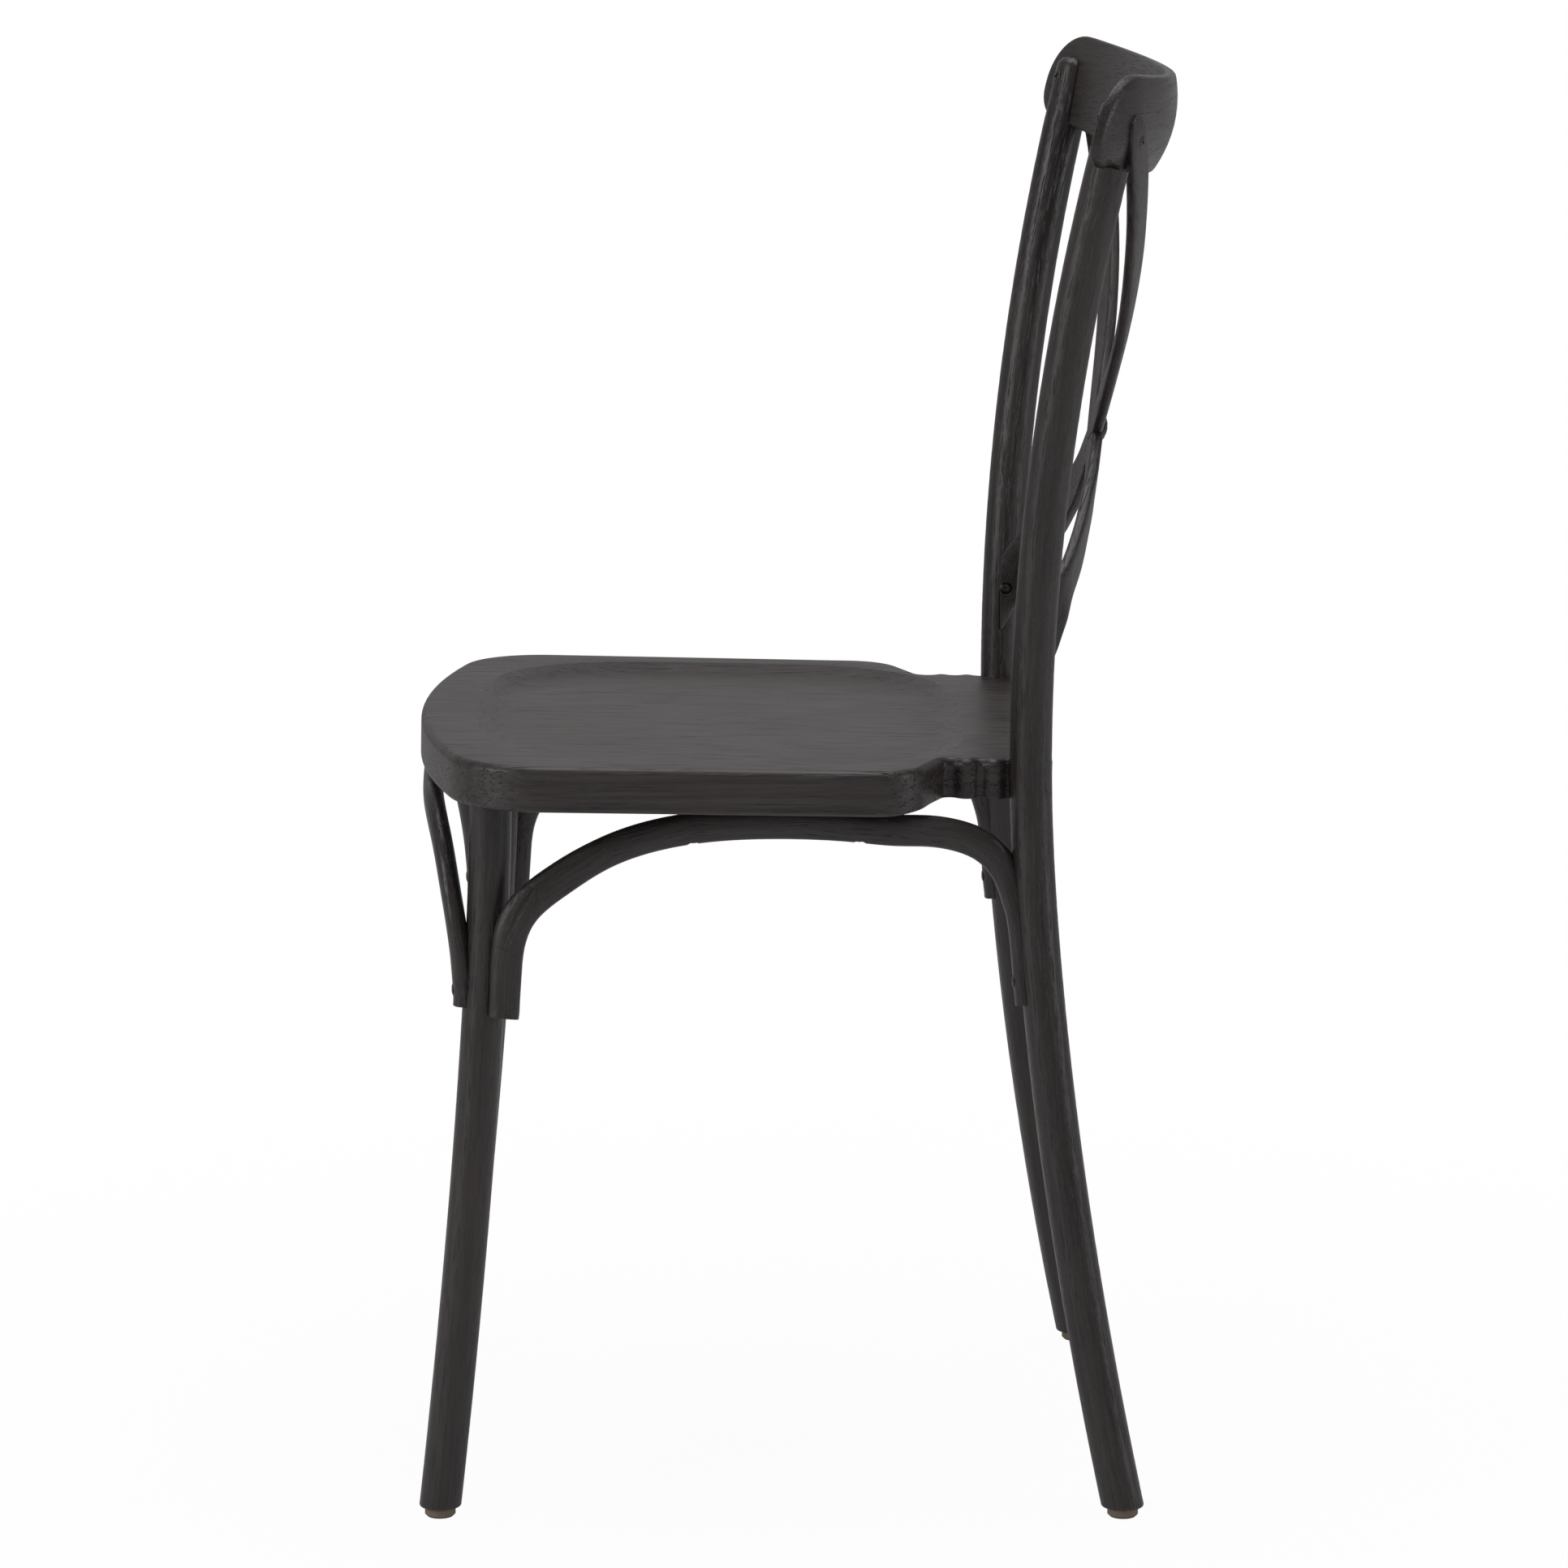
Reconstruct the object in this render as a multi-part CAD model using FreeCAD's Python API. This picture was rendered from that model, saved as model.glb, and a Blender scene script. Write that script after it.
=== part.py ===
import FreeCAD, Part
import math
import os

# A cross back side chair in bent and turned wood, near-black stain.
# Millimetres. X is across the chair, the sitter faces -Y, +Z is up and the floor is Z = 0.
# The sitter's left hand is on the +X side. Pieces come in mirrored pairs about the plane X = 0.

# Overall chair
seat_height = 466.5          # top of the seat, measured at the back posts
back_line_y = 139.9          # the line of the back posts' centres at seat height
fit_gap = 0.2                # clearance between two pieces of wood that touch
hole_gap = 0.15              # clearance round a screw, nail or bolt, on the radius

# Seat panel
seat_thickness = 28.0
seat_half_width = 215.0
seat_reach = 377.0           # from the post line forward to the front edge
seat_pitch = 1.2             # degrees, the front edge is the higher one
seat_top_round = 5.0
seat_under_round = 3.0
seat_neck_rise = 3.4         # the underside steps up this much towards the posts
seat_neck_start = 88.0       # from the post line forward to where that begins
seat_neck_out = 0.5          # the seat meets a post this far outside the post's centre
seat_tongue = 17.0           # from the post line back to the rear edge, at the middle
dish_depth = 6.0
dish_power = 3.4             # 2 would be an ellipse, larger is squarer
dish_wall = 22.0             # how far in the soft wall of the dish reaches
dish_side_rim = 27.0         # flat rim left at each side
dish_front_rim = 36.0
dish_rear_end = 34.0         # from the post line forward to the rear end of the dish
seat_front_radius = 670.0    # the front edge is a slow curve
seat_corner_radius = 58.0
seat_front_overlap = 8.0     # the front curve runs this far past the centres of the corners
seat_side_taper = 4.5        # the sides draw in this much towards the rear
seat_shoulder_radius = 34.0  # where the side turns in towards the posts
seat_shoulder_slant = 22.0   # degrees, the line from the side in to the waist
seat_hollow_radius = 6.0
seat_lobe_radius = 7.5       # two small lobes run from the waist to each post
seat_groove_radius = 3.5
seat_rear_radius = 1600.0

# Back posts, round and curved in both views
post_diameter = 26.0
post_set_in = 58.0           # centre of a post in from the seat's side, at seat height
post_foot_out = 48.5
post_foot_back = 58.5
post_top_out = 35.0
post_top_back = 51.0
back_height = 403.0          # top of a post above the seat
post_top_round = 7.0
foot_round = 1.5
post_spacing = seat_half_width - post_set_in
post_top_height = seat_height + back_height

# Front legs
leg_diameter = 25.8
leg_set_in = 42.0            # centre of a leg in from the seat's side
leg_set_back = 47.0          # centre of the leg behind the seat's front edge, at the seat
leg_foot_out = 21.0
leg_foot_forward = 35.0
tenon_diameter = 19.0
tenon_length = 15.0
leg_spacing = seat_half_width - leg_set_in

# Top rail, bent about an axis that leans back with the posts
rail_height = 62.0
rail_thickness = 13.0
rail_overhang = 21.0         # past the centre of a post's top
rail_bend_radius = 462.0
rail_lean = 13.0             # degrees back from upright
rail_behind_post = 4.82      # middle of the rail's thickness behind a post's centre
rail_drop = 23.8             # middle of the rail below the top of the posts
rail_upper_corner = 37.0
rail_lower_corner = 17.0
rail_belly = 6.0             # the lower edge hangs this much lower at the middle
rail_crown_radius = 80.0     # the rear face is rounded from its upper to its lower edge
rail_edge_round = 2.8
rail_half_length = post_spacing + post_top_out + rail_overhang
rail_centre_height = post_top_height - rail_drop

# Crossed slats of the back
slat_width = 26.0
slat_thickness = 8.0
slat_top_in = 35.0           # middle of a slat in from the rail's end, at its screw
slat_top_rise = 0.8          # the same point above the middle of the rail
slat_cross_rise = 183.0      # the crossing above the seat
slat_foot_rise = 61.0        # above the seat, where the middle of the slat meets the post
slat_proud = 3.0             # how far a slat stands out of its housing in the rail
slat_end_length = 17.0       # the tapered end past the upper screw
slat_let_in = 1.5            # how deep a slat's foot is let into the post
slat_end_margin = 3.5        # from the foot screw's axis forward to the end of the slat
slat_top_spread = rail_half_length - slat_top_in
slat_top_height = rail_centre_height + slat_top_rise
slat_cross_height = seat_height + slat_cross_rise
slat_foot_height = seat_height + slat_foot_rise

# Bows under the seat
bow_width = 19.5
bow_thickness = 12.6
bow_end_drop = 152.5         # the bows' ends below the top of the seat
bow_set_in = 35.0            # side bow in from the seat's side, along the seat
bow_arch_depth = 58.5        # how far a side bow has fallen below the seat at the leg
bow_leg_lap = 34.0           # the front end runs up this far beside the leg
bow_post_lap = 80.0          # the rear end runs down this far along the post
bow_leg_stand_off = 19.0     # side bow centre outboard of the leg centre at its end
bow_post_proud = 4.7         # how far the thinned rear end stands in front of the post
bow_end_height = seat_height - bow_end_drop
bow_spacing = seat_half_width - bow_set_in

# Fasteners and feet
screw_diameter = 4.0
screw_head_diameter = 8.0
screw_head_height = 3.0
screw_sink = 1.5             # heads under the seat are sunk this far into the bows
seat_screw_bite = 11.0       # how far a screw through a bow reaches past it
rail_screw_length = 15.0
slat_screw_length = 14.0
slat_foot_screw_length = 24.0
bow_leg_screw_length = 32.0
bow_post_screw_length = 26.0
bow_leg_screw_up = 27.0      # above the bows' ends
bow_post_screw_up = 16.0
front_bow_screw_length = 27.0
bolt_diameter = 6.0
bolt_head_diameter = 10.0
bolt_head_height = 5.0
bolt_toe_in = 22.0           # degrees the seat bolts point inward from straight ahead
insert_diameter = 9.0
insert_length = 18.0
washer_thickness = 1.2
plug_thickness = 3.0
crossing_boss_diameter = 15.0
crossing_boss_thickness = 2.5
glide_diameter = 19.0
glide_thickness = 6.2        # the wood of the legs and posts starts this high
glide_edge = 1.5
nail_diameter = 2.5
nail_length = 22.0           # the tip, above the floor
nail_head_diameter = 6.4
nail_head_bottom = 1.2       # sunk this far into the pad
nail_head_top = 2.2

Vector = FreeCAD.Vector
UP = Vector(0, 0, 1)
BACK = Vector(0, 1, 0)
SECTION_POINTS = 16


def mirrored(shape):
    """The same piece for the right-hand side of the chair."""
    return shape.mirror(Vector(0, 0, 0), Vector(1, 0, 0))


def rod(start, direction, radius, length):
    """A round bar from a point along a direction."""
    return Part.makeCylinder(radius, length, start, direction)


def between(stops, values, place):
    """The value at a place between stops, moving smoothly from each stop to the next."""
    for i in range(len(stops) - 1):
        if place <= stops[i + 1]:
            share = (place - stops[i]) / (stops[i + 1] - stops[i])
            soft = share * share * (3 - 2 * share)
            return values[i] * (1 - soft) + values[i + 1] * soft
    return values[-1]


def section_ring(centre, along, flat_side, width, thickness, power):
    """Points round an oval section across a bar. Power 2 is an ellipse, larger is squarer.

    The first point is on a corner, so that the seam there stays clear of the screws.
    """
    across = along.cross(flat_side)
    across.normalize()
    normal = across.cross(along)
    normal.normalize()
    points = []
    for i in range(SECTION_POINTS):
        angle = math.pi / 4 + 2 * math.pi * i / SECTION_POINTS
        c, s = math.cos(angle), math.sin(angle)
        u = math.copysign(abs(c) ** (2 / power), c) * width / 2
        v = math.copysign(abs(s) ** (2 / power), s) * thickness / 2
        points.append(centre + across * u + normal * v)
    return points


def skinned(rings):
    """A solid bar whose side passes smoothly through closed rings of points."""
    count, lap = len(rings[0]), 4
    grid = [[ring[(i - lap) % count] for i in range(count + 2 * lap + 1)] for ring in rings]
    side = Part.BSplineSurface()
    side.interpolate(grid)
    places = side.getVKnots()
    side.segment(0.0, 1.0, places[lap], places[lap + count])
    faces = [side.toShape()]
    for end in (0.0, 1.0):
        faces.append(Part.Face(Part.Wire([side.uIso(end).toShape()])))
    shell = Part.makeShell(faces)
    shell.sewShape()
    solid = Part.makeSolid(shell.Shells[0])
    if solid.Volume < 0:
        solid.reverse()
    return solid


def lengthened(points, extra):
    """The same line of points with both ends carried on by a little."""
    first, last = points[0] - points[1], points[-1] - points[-2]
    first.normalize()
    last.normalize()
    return [points[0] + first * extra] + points[1:-1] + [points[-1] + last * extra]


def bent_bar(points, normals, widths, thicknesses, power, stations):
    """A bar bent along a smooth line through points, with its flat side facing the normals."""
    line = Part.BSplineCurve()
    line.interpolate(points)
    stops = [line.parameter(p) for p in points]
    rings = []
    for spot in line.toShape().discretize(Number=stations):
        place = line.parameter(spot)
        along = Vector(*line.tangent(place)[0])
        normal = between(stops, normals, place)
        width = between(stops, widths, place)
        thickness = between(stops, thicknesses, place)
        rings.append(section_ring(spot, along, normal, width, thickness, power))
    return skinned(rings)


# Where the main pieces run

def post_centre(height):
    """Centre of the left back post at a height: narrowest at the seat, splayed above and below."""
    if height < seat_height:
        t = (seat_height - height) / seat_height
        out, back = post_foot_out * t ** 1.3, post_foot_back * t ** 1.7
    else:
        t = (height - seat_height) / (post_top_height - seat_height)
        out, back = post_top_out * t ** 1.55, post_top_back * t ** 2
    return Vector(post_spacing + out, back_line_y + back, height)


def seat_top(y):
    return seat_height + (back_line_y - y) * math.tan(math.radians(seat_pitch))


def seat_under(y):
    return seat_top(y) - seat_thickness / math.cos(math.radians(seat_pitch))


seat_front_y = back_line_y - seat_reach
leg_top_y = seat_front_y + leg_set_back


def leg_centre(height):
    """Centre of the left front leg at a height, kicked forward and outward at the foot."""
    top = seat_under(leg_top_y)
    t = max(0.0, top - height) / top
    return Vector(leg_spacing + leg_foot_out * t ** 1.4, leg_top_y - leg_foot_forward * t ** 1.5, height)


def rail_sag(x):
    """How far the bent rail has come forward at a distance from its middle."""
    return rail_bend_radius - math.sqrt(rail_bend_radius ** 2 - x ** 2)


# The middle of the rail lies behind the post line by the posts' own rake and the rail's bend.
post_at_rail = post_centre(rail_centre_height)
rail_centre_back = (post_at_rail.y - back_line_y + rail_behind_post
                    + rail_sag(post_at_rail.x) * math.cos(math.radians(rail_lean)))


def on_rail(x, height, offset):
    """A point on the rail's bent sheet carried up or down, at an offset behind its middle."""
    lean = math.radians(rail_lean)
    depth = math.sqrt((rail_bend_radius + offset) ** 2 - x ** 2) - rail_bend_radius
    rise = (height - rail_centre_height + depth * math.sin(lean)) / math.cos(lean)
    back = rail_centre_back + depth * math.cos(lean) + rise * math.sin(lean)
    return Vector(x, back_line_y + back, height)


def rail_normal(turn):
    """Direction square to the bent back at a turn in degrees from the middle."""
    lean, a = math.radians(rail_lean), math.radians(turn)
    return Vector(math.sin(a), math.cos(a) * math.cos(lean), -math.cos(a) * math.sin(lean))


# Posts and legs

def end_edges(shape, height):
    """The outline edge of the level end at a height."""
    return [e for e in shape.Edges if abs(e.BoundBox.ZMax - height) < 0.01 and e.BoundBox.ZLength < 0.01]


def turned_leg(centre_at, lowest, highest, diameter):
    """A round curved leg whose foot is cut level and eased."""
    count = 11
    over = diameter / 2
    heights = [lowest - over + (highest - lowest + over) * i / (count - 1) for i in range(count)]
    points = [centre_at(h) for h in heights]
    bar = bent_bar(points, [BACK] * count, [diameter] * count, [diameter] * count, 2, count + 4)
    foot = centre_at(lowest)
    below = Part.makeBox(4 * diameter, 4 * diameter, 2 * diameter,
                         Vector(foot.x - 2 * diameter, foot.y - 2 * diameter, lowest - 2 * diameter))
    bar = bar.cut(below)
    return bar.makeFillet(foot_round, end_edges(bar, lowest))


def seat_block(bottom, top, size=600):
    """A slab tilted with the seat, between two distances above the seat's underside."""
    slab = Part.makeBox(size, size, top - bottom, Vector(-size / 2, -size + 100, bottom - seat_thickness))
    return to_seat(slab)


def to_seat(shape):
    """Carries a shape drawn about the post line into the tilted seat's place."""
    shape.rotate(Vector(0, 0, 0), Vector(1, 0, 0), -seat_pitch)
    shape.translate(Vector(0, back_line_y, seat_height))
    return shape


def make_front_leg():
    top = seat_under(leg_top_y)
    leg = turned_leg(leg_centre, glide_thickness, top + leg_diameter, leg_diameter)
    leg = leg.cut(seat_block(-fit_gap, 4 * leg_diameter))
    tenon = rod(leg_centre(top - 2), UP, tenon_diameter / 2, tenon_length + 2)
    return leg.fuse(tenon).removeSplitter()


def rail_outline(grow):
    """The rail seen square on: straight top, big upper corners, small lower ones, bellied lower edge."""
    half = rail_half_length + grow
    top = rail_height / 2 + grow
    end_low = -rail_height / 2 + rail_belly - grow
    upper, lower = rail_upper_corner + grow, rail_lower_corner + grow
    slant = math.sqrt(0.5)

    def at(x, z):
        return Vector(x, 0, z)

    edges = []
    for side in (1, -1):
        edges.append(Part.Arc(at(side * (half - upper), top),
                              at(side * (half - upper + upper * slant), top - upper + upper * slant),
                              at(side * half, top - upper)).toShape())
        edges.append(Part.makeLine(at(side * half, top - upper), at(side * half, end_low + lower)))
        edges.append(Part.Arc(at(side * half, end_low + lower),
                              at(side * (half - lower + lower * slant), end_low + lower - lower * slant),
                              at(side * (half - lower), end_low)).toShape())
    edges.append(Part.makeLine(at(half - upper, top), at(upper - half, top)))
    edges.append(Part.Arc(at(half - lower, end_low), at(0, -rail_height / 2 - grow),
                          at(lower - half, end_low)).toShape())
    return Part.Wire(Part.__sortEdges__(edges))


def rail_sheet(grow, behind):
    """The bent plank with its crowned rear face, or the room it needs: grown and carried back."""
    front = rail_bend_radius - rail_thickness / 2 - grow
    rear = rail_bend_radius + rail_thickness / 2 + behind
    reach = 0.6 * rail_height
    crown = rail_crown_radius - math.sqrt(rail_crown_radius ** 2 - reach ** 2)
    edges = [Part.makeLine(Vector(front, 0, -reach), Vector(front, 0, reach)),
             Part.makeLine(Vector(front, 0, reach), Vector(rear - crown, 0, reach)),
             Part.Arc(Vector(rear - crown, 0, reach), Vector(rear, 0, 0),
                      Vector(rear - crown, 0, -reach)).toShape(),
             Part.makeLine(Vector(rear - crown, 0, -reach), Vector(front, 0, -reach))]
    ring = Part.Face(Part.Wire(edges)).revolve(Vector(0, 0, 0), UP, 180)
    ring.translate(Vector(0, -rail_bend_radius, 0))
    outline = Part.Face(rail_outline(grow))
    outline.translate(Vector(0, -rail_bend_radius / 3, 0))
    return ring.common(outline.extrude(Vector(0, rail_bend_radius / 3 + rail_thickness + behind, 0)))


def to_rail(shape):
    """Leans a shape drawn upright at the rail's middle and carries it to its place."""
    shape.rotate(Vector(0, 0, 0), Vector(1, 0, 0), -rail_lean)
    shape.translate(Vector(0, back_line_y + rail_centre_back, rail_centre_height))
    return shape


def make_top_rail():
    plank = rail_sheet(0, 0)
    return to_rail(plank.makeFillet(rail_edge_round, plank.Edges))


def make_back_post():
    """The upper end is halved at the rear to take the rail."""
    post = turned_leg(post_centre, glide_thickness, post_top_height, post_diameter)
    top = [e for e in post.Edges if e.BoundBox.ZMin > post_top_height - post_diameter / 2]
    post = post.makeFillet(post_top_round, top)
    return post.cut(to_rail(rail_sheet(fit_gap, 2 * post_diameter)))


# Slats of the crossed back

# How far in the slats lie behind the middle of the rail's sheet.
slat_offset = rail_thickness / 2 + slat_proud - slat_thickness / 2


def slat_foot():
    """Middle of the left slat where it meets the right post's inner face."""
    post = post_centre(slat_foot_height)
    x = post.x - post_diameter / 2 + slat_let_in - slat_thickness / 2
    return Vector(-x, post.y + 1, slat_foot_height)


def make_slat(grow=0.0):
    """A slat from the left end of the rail down to the right post, without its lap.

    It lies on the rail's bent sheet down to the crossing, then twists to lie on the post's inner face.
    """
    up_x, rise = slat_top_spread, slat_top_height - slat_cross_height
    tip = slat_end_length / math.hypot(up_x, rise)
    shares_up = (1 + tip, 1, 0.66, 0.33, 0)
    points = [on_rail(share * up_x, slat_cross_height + share * rise, slat_offset)
              for share in shares_up]
    middle, foot = points[-1], slat_foot()
    drop = middle - foot
    # Shares of the way down to the foot: across, forward and down.
    lower_line = ((0.18, 0.08, 0.19), (0.37, 0.21, 0.38), (0.66, 0.46, 0.62), (0.89, 0.78, 0.83),
                  (0.98, 1, 1), (0.995, 1.26, 1.19))
    for across, ahead, down in lower_line:
        points.append(middle - Vector(across * drop.x, ahead * drop.y, down * drop.z))
    turns = [math.degrees(math.asin(share * up_x / rail_bend_radius)) for share in shares_up]
    turns += [-9, -19, -30, -62, -86, -90]
    normals = [rail_normal(turn) for turn in turns]
    w, t = slat_width + 2 * grow, slat_thickness + 2 * grow
    widths = [0.3 * w, 0.9 * w] + [w] * 7 + [0.92 * w, 0.85 * w]
    thicknesses = [0.5 * t] + [t] * (len(points) - 1)
    slat = bent_bar(lengthened(points, grow), normals, widths, thicknesses, 4, 41)
    # The foot is cut off upright, just in front of its screw.
    size = 6 * slat_width
    end_y = foot.y - slat_end_margin - grow
    ahead = Part.makeBox(size, size, size, Vector(foot.x - size / 2, end_y - size, foot.z - size / 2))
    return slat.cut(ahead)


def lap_room(other, side):
    """What a slat gives up to the other one: side is 1 for its rear half, -1 for its front half."""
    deep = 4 * slat_thickness
    half = 2 * slat_width
    block = Part.makeBox(2 * half, deep, 2 * half, Vector(-half, 0, -half))
    block.translate(Vector(0, -fit_gap / 2 if side > 0 else fit_gap / 2 - deep, 0))
    block.rotate(Vector(0, 0, 0), Vector(1, 0, 0), -rail_lean)
    block.translate(on_rail(0, slat_cross_height, slat_offset))
    return other.common(block)


# Bows under the seat

def side_bow_points():
    """From the outside of the front leg, along under the seat, down to the front of the back post."""
    beside = Vector(bow_leg_stand_off * 0.85, bow_leg_stand_off * 0.68, 0)
    start = leg_centre(bow_end_height + bow_leg_lap) + beside
    post_front = post_centre(bow_end_height + 0.81 * bow_post_lap)
    post_front_y = post_front.y - post_diameter / 2 - bow_post_proud
    run = post_front_y - start.y
    highest = seat_under(back_line_y) - 2 * fit_gap - bow_width / 2
    tilt = math.tan(math.radians(seat_pitch))
    # Share of the way back, of the arch's depth, and how far the bow has moved over to a leg or a post.
    arch = ((0.023, 1, 1), (0.094, 0.65, 0.7), (0.21, 0.296, 0.3), (0.371, 0.068, 0), (0.542, 0, 0),
            (0.703, 0.026, 0), (0.774, 0.06, -0.1), (0.839, 0.085, -0.5), (0.903, 0.154, -0.85),
            (0.961, 0.3, -1))
    points = [leg_centre(bow_end_height) + beside, start]
    for share, drop, aside in arch:
        y = start.y + share * run
        if aside > 0:
            x = bow_spacing + aside * (start.x - bow_spacing)
        else:
            x = bow_spacing - aside * (post_front.x - bow_spacing)
        points.append(Vector(x, y, highest + (back_line_y - y) * tilt - drop * bow_arch_depth))
    # Down the front of the post: shares of the lap still to go and ahead of the post, and of the width.
    for up, ahead, thin in ((1, 0.094, 0.9), (0.825, 0.038, 0.76), (0.625, 0.006, 0.65), (0.3, 0, 0.61),
                            (0.02, 0, 0.61)):
        c = post_centre(bow_end_height + up * bow_post_lap)
        front = c.y - post_diameter / 2 - bow_post_proud - ahead * bow_post_lap
        points.append(Vector(c.x, front + thin * bow_width / 2, c.z))
    return points


def make_side_bow(grow=0.0):
    points = side_bow_points()
    w, t = bow_width + 2 * grow, bow_thickness + 2 * grow
    widths = [share * w for share in (0.95, 1, 1.1, 1.08)] + [w] * 8
    widths += [share * w for share in (0.9, 0.76, 0.65, 0.61, 0.61)]
    thicknesses = [t] * 13 + [share * t for share in (1.05, 1.1, 1.12, 1.12)]
    sideways = [Vector(1, 0, 0)] * len(points)
    return bent_bar(lengthened(points, grow), sideways, widths, thicknesses, 2.3, 46)


def front_bow_points():
    """The left half, from the front of the leg up and round under the seat's front edge to the middle."""
    foot = leg_centre(bow_end_height + 5)
    start_y = foot.y - leg_diameter / 2 + 0.1
    top_y = seat_front_y + 8.0
    top_z = seat_under(top_y) - 2 * fit_gap - bow_width / 2
    low_z = foot.z
    # Shares of the way from the middle out to the leg, from the leg forward, and up to the seat.
    arch = ((1.0, 0, 0), (1.0, 0.02, 0.2), (0.985, 0.17, 0.43), (0.945, 0.36, 0.63), (0.865, 0.55, 0.8),
            (0.75, 0.74, 0.915), (0.595, 0.88, 0.978), (0.34, 0.96, 1.0))
    rise = top_z - low_z
    return [Vector(out * foot.x, start_y + ahead * (top_y - start_y), low_z + up * rise)
            for out, ahead, up in arch] + [Vector(0, top_y, top_z)]


def make_front_bow(grow=0.0):
    half = front_bow_points()
    points = half + [Vector(-p.x, p.y, p.z) for p in reversed(half[:-1])]
    w, t = bow_width + 2 * grow, bow_thickness + 2 * grow
    widths = [0.8 * w, 0.9 * w] + [w] * (len(points) - 4) + [0.9 * w, 0.8 * w]
    thicknesses = [0.92 * t] + [t] * (len(points) - 2) + [0.92 * t]
    return bent_bar(lengthened(points, grow), [BACK] * len(points), widths, thicknesses, 2.3, 45)


# Seat panel

def rounded_outline(corners):
    """A closed outline of straight runs joined by tangent arcs, from corners of (x, y, radius)."""
    edges, last_end = [], None
    count = len(corners)
    for i in range(count + 1):
        x, y, radius = corners[i % count]
        corner = Vector(x, y, 0)
        before = Vector(*corners[i % count - 1][:2], 0) - corner
        after = Vector(*corners[(i + 1) % count][:2], 0) - corner
        before.normalize()
        after.normalize()
        half_angle = before.getAngle(after) / 2
        reach = radius / math.tan(half_angle)
        start, end = corner + before * reach, corner + after * reach
        toward = before + after
        toward.normalize()
        middle = corner + toward * (radius / math.sin(half_angle) - radius)
        if last_end is not None and last_end.distanceToPoint(start) > 0.001:
            edges.append(Part.makeLine(last_end, start))
        if i < count:
            edges.append(Part.Arc(start, middle, end).toShape())
        last_end = end
    return Part.Wire(edges)


def seat_outline():
    """The seat seen from above, about the post line, +Y to the rear."""
    post_radius = post_diameter / 2
    front_arc_half = seat_half_width - seat_corner_radius + seat_front_overlap
    front_turn = math.asin(front_arc_half / seat_front_radius)
    front = (0, -seat_reach - seat_front_radius * (1 / math.cos(front_turn) - 1), seat_front_radius)
    front_corner = (seat_half_width, front[1] + seat_half_width * math.tan(front_turn), seat_corner_radius)
    diagonal, flat = math.sqrt(0.5), 0.5
    end = (post_spacing + seat_neck_out, -post_radius - 1.8, 5)
    lobe_step = (seat_lobe_radius + seat_groove_radius) * diagonal + flat
    rear_lobe = (end[0] + seat_lobe_radius, end[1] - seat_lobe_radius, seat_lobe_radius)
    groove = (rear_lobe[0] - lobe_step, rear_lobe[1] - lobe_step, seat_groove_radius)
    fore_lobe = (groove[0] + lobe_step, groove[1] - lobe_step, seat_lobe_radius)
    hollow_reach = seat_hollow_radius / math.tan(math.radians(45 + seat_shoulder_slant) / 2)
    hollow_step = (seat_lobe_radius + hollow_reach) * diagonal + flat
    hollow = (fore_lobe[0] - hollow_step, fore_lobe[1] - hollow_step, seat_hollow_radius)
    side_x = seat_half_width - seat_side_taper
    side_y = hollow[1] - (side_x - hollow[0]) * math.tan(math.radians(seat_shoulder_slant))
    side = (side_x, side_y, seat_shoulder_radius)
    in_post = (post_spacing + seat_neck_out, -post_radius / 2.5, 8)
    tongue = (post_spacing - 1.05 * post_radius, 1.12 * post_radius, 6)
    half = [front_corner, side, hollow, fore_lobe, groove, rear_lobe, end, in_post, tongue]
    rear = (0, seat_tongue + 2.5, seat_rear_radius)
    other = [(-x, y, r) for x, y, r in reversed(half)]
    return rounded_outline([front] + half + [rear] + other)


def dish_cutter():
    """The shallow hollow worked into the seat: rounded oblongs, each deeper and smaller."""
    half_across = seat_half_width - dish_side_rim
    front, rear = -seat_reach + dish_front_rim, -dish_rear_end
    middle_y, half_deep = (front + rear) / 2, (rear - front) / 2
    count = 4 * SECTION_POINTS
    rings = []
    # Shares of the wall's width inward and of the depth downward.
    for inward, down in ((-0.4, -0.25), (0, 0.02), (0.25, 0.4), (0.6, 0.85), (1, 1)):
        points = []
        for i in range(count):
            angle = 2 * math.pi * i / count
            c, s = math.cos(angle), math.sin(angle)
            u = math.copysign(abs(c) ** (2 / dish_power), c) * (half_across - inward * dish_wall)
            v = math.copysign(abs(s) ** (2 / dish_power), s) * (half_deep - inward * dish_wall)
            points.append(Vector(u, middle_y + v, -down * dish_depth))
        rings.append(points)
    return skinned(rings)


def make_seat(post_room, other_post_room):
    outline = Part.Face(seat_outline())
    outline.translate(Vector(0, 0, -seat_thickness))
    blank = outline.extrude(Vector(0, 0, seat_thickness))
    upper = [e for e in blank.Edges if e.BoundBox.ZMin > -0.01]
    blank = blank.makeFillet(seat_top_round, upper)
    lower = [e for e in blank.Edges if e.BoundBox.ZMax < 0.01 - seat_thickness]
    blank = blank.makeFillet(seat_under_round, lower)
    # The underside is relieved towards the posts, where the side is at its narrowest.
    under, neck = -seat_thickness, -seat_neck_start
    relief = [Vector(0, neck, under), Vector(0, 0.7 * neck, under + seat_neck_rise),
              Vector(0, 2 * seat_tongue, under + seat_neck_rise), Vector(0, 2 * seat_tongue, 2 * under),
              Vector(0, neck, 2 * under)]
    face = Part.Face(Part.makePolygon(relief + relief[:1]))
    face.translate(Vector(-seat_half_width, 0, 0))
    blank = blank.cut(face.extrude(Vector(2 * seat_half_width, 0, 0)))
    seat = to_seat(blank.cut(dish_cutter()))
    return seat.cut(post_room).cut(other_post_room)


# Fasteners and feet

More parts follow.
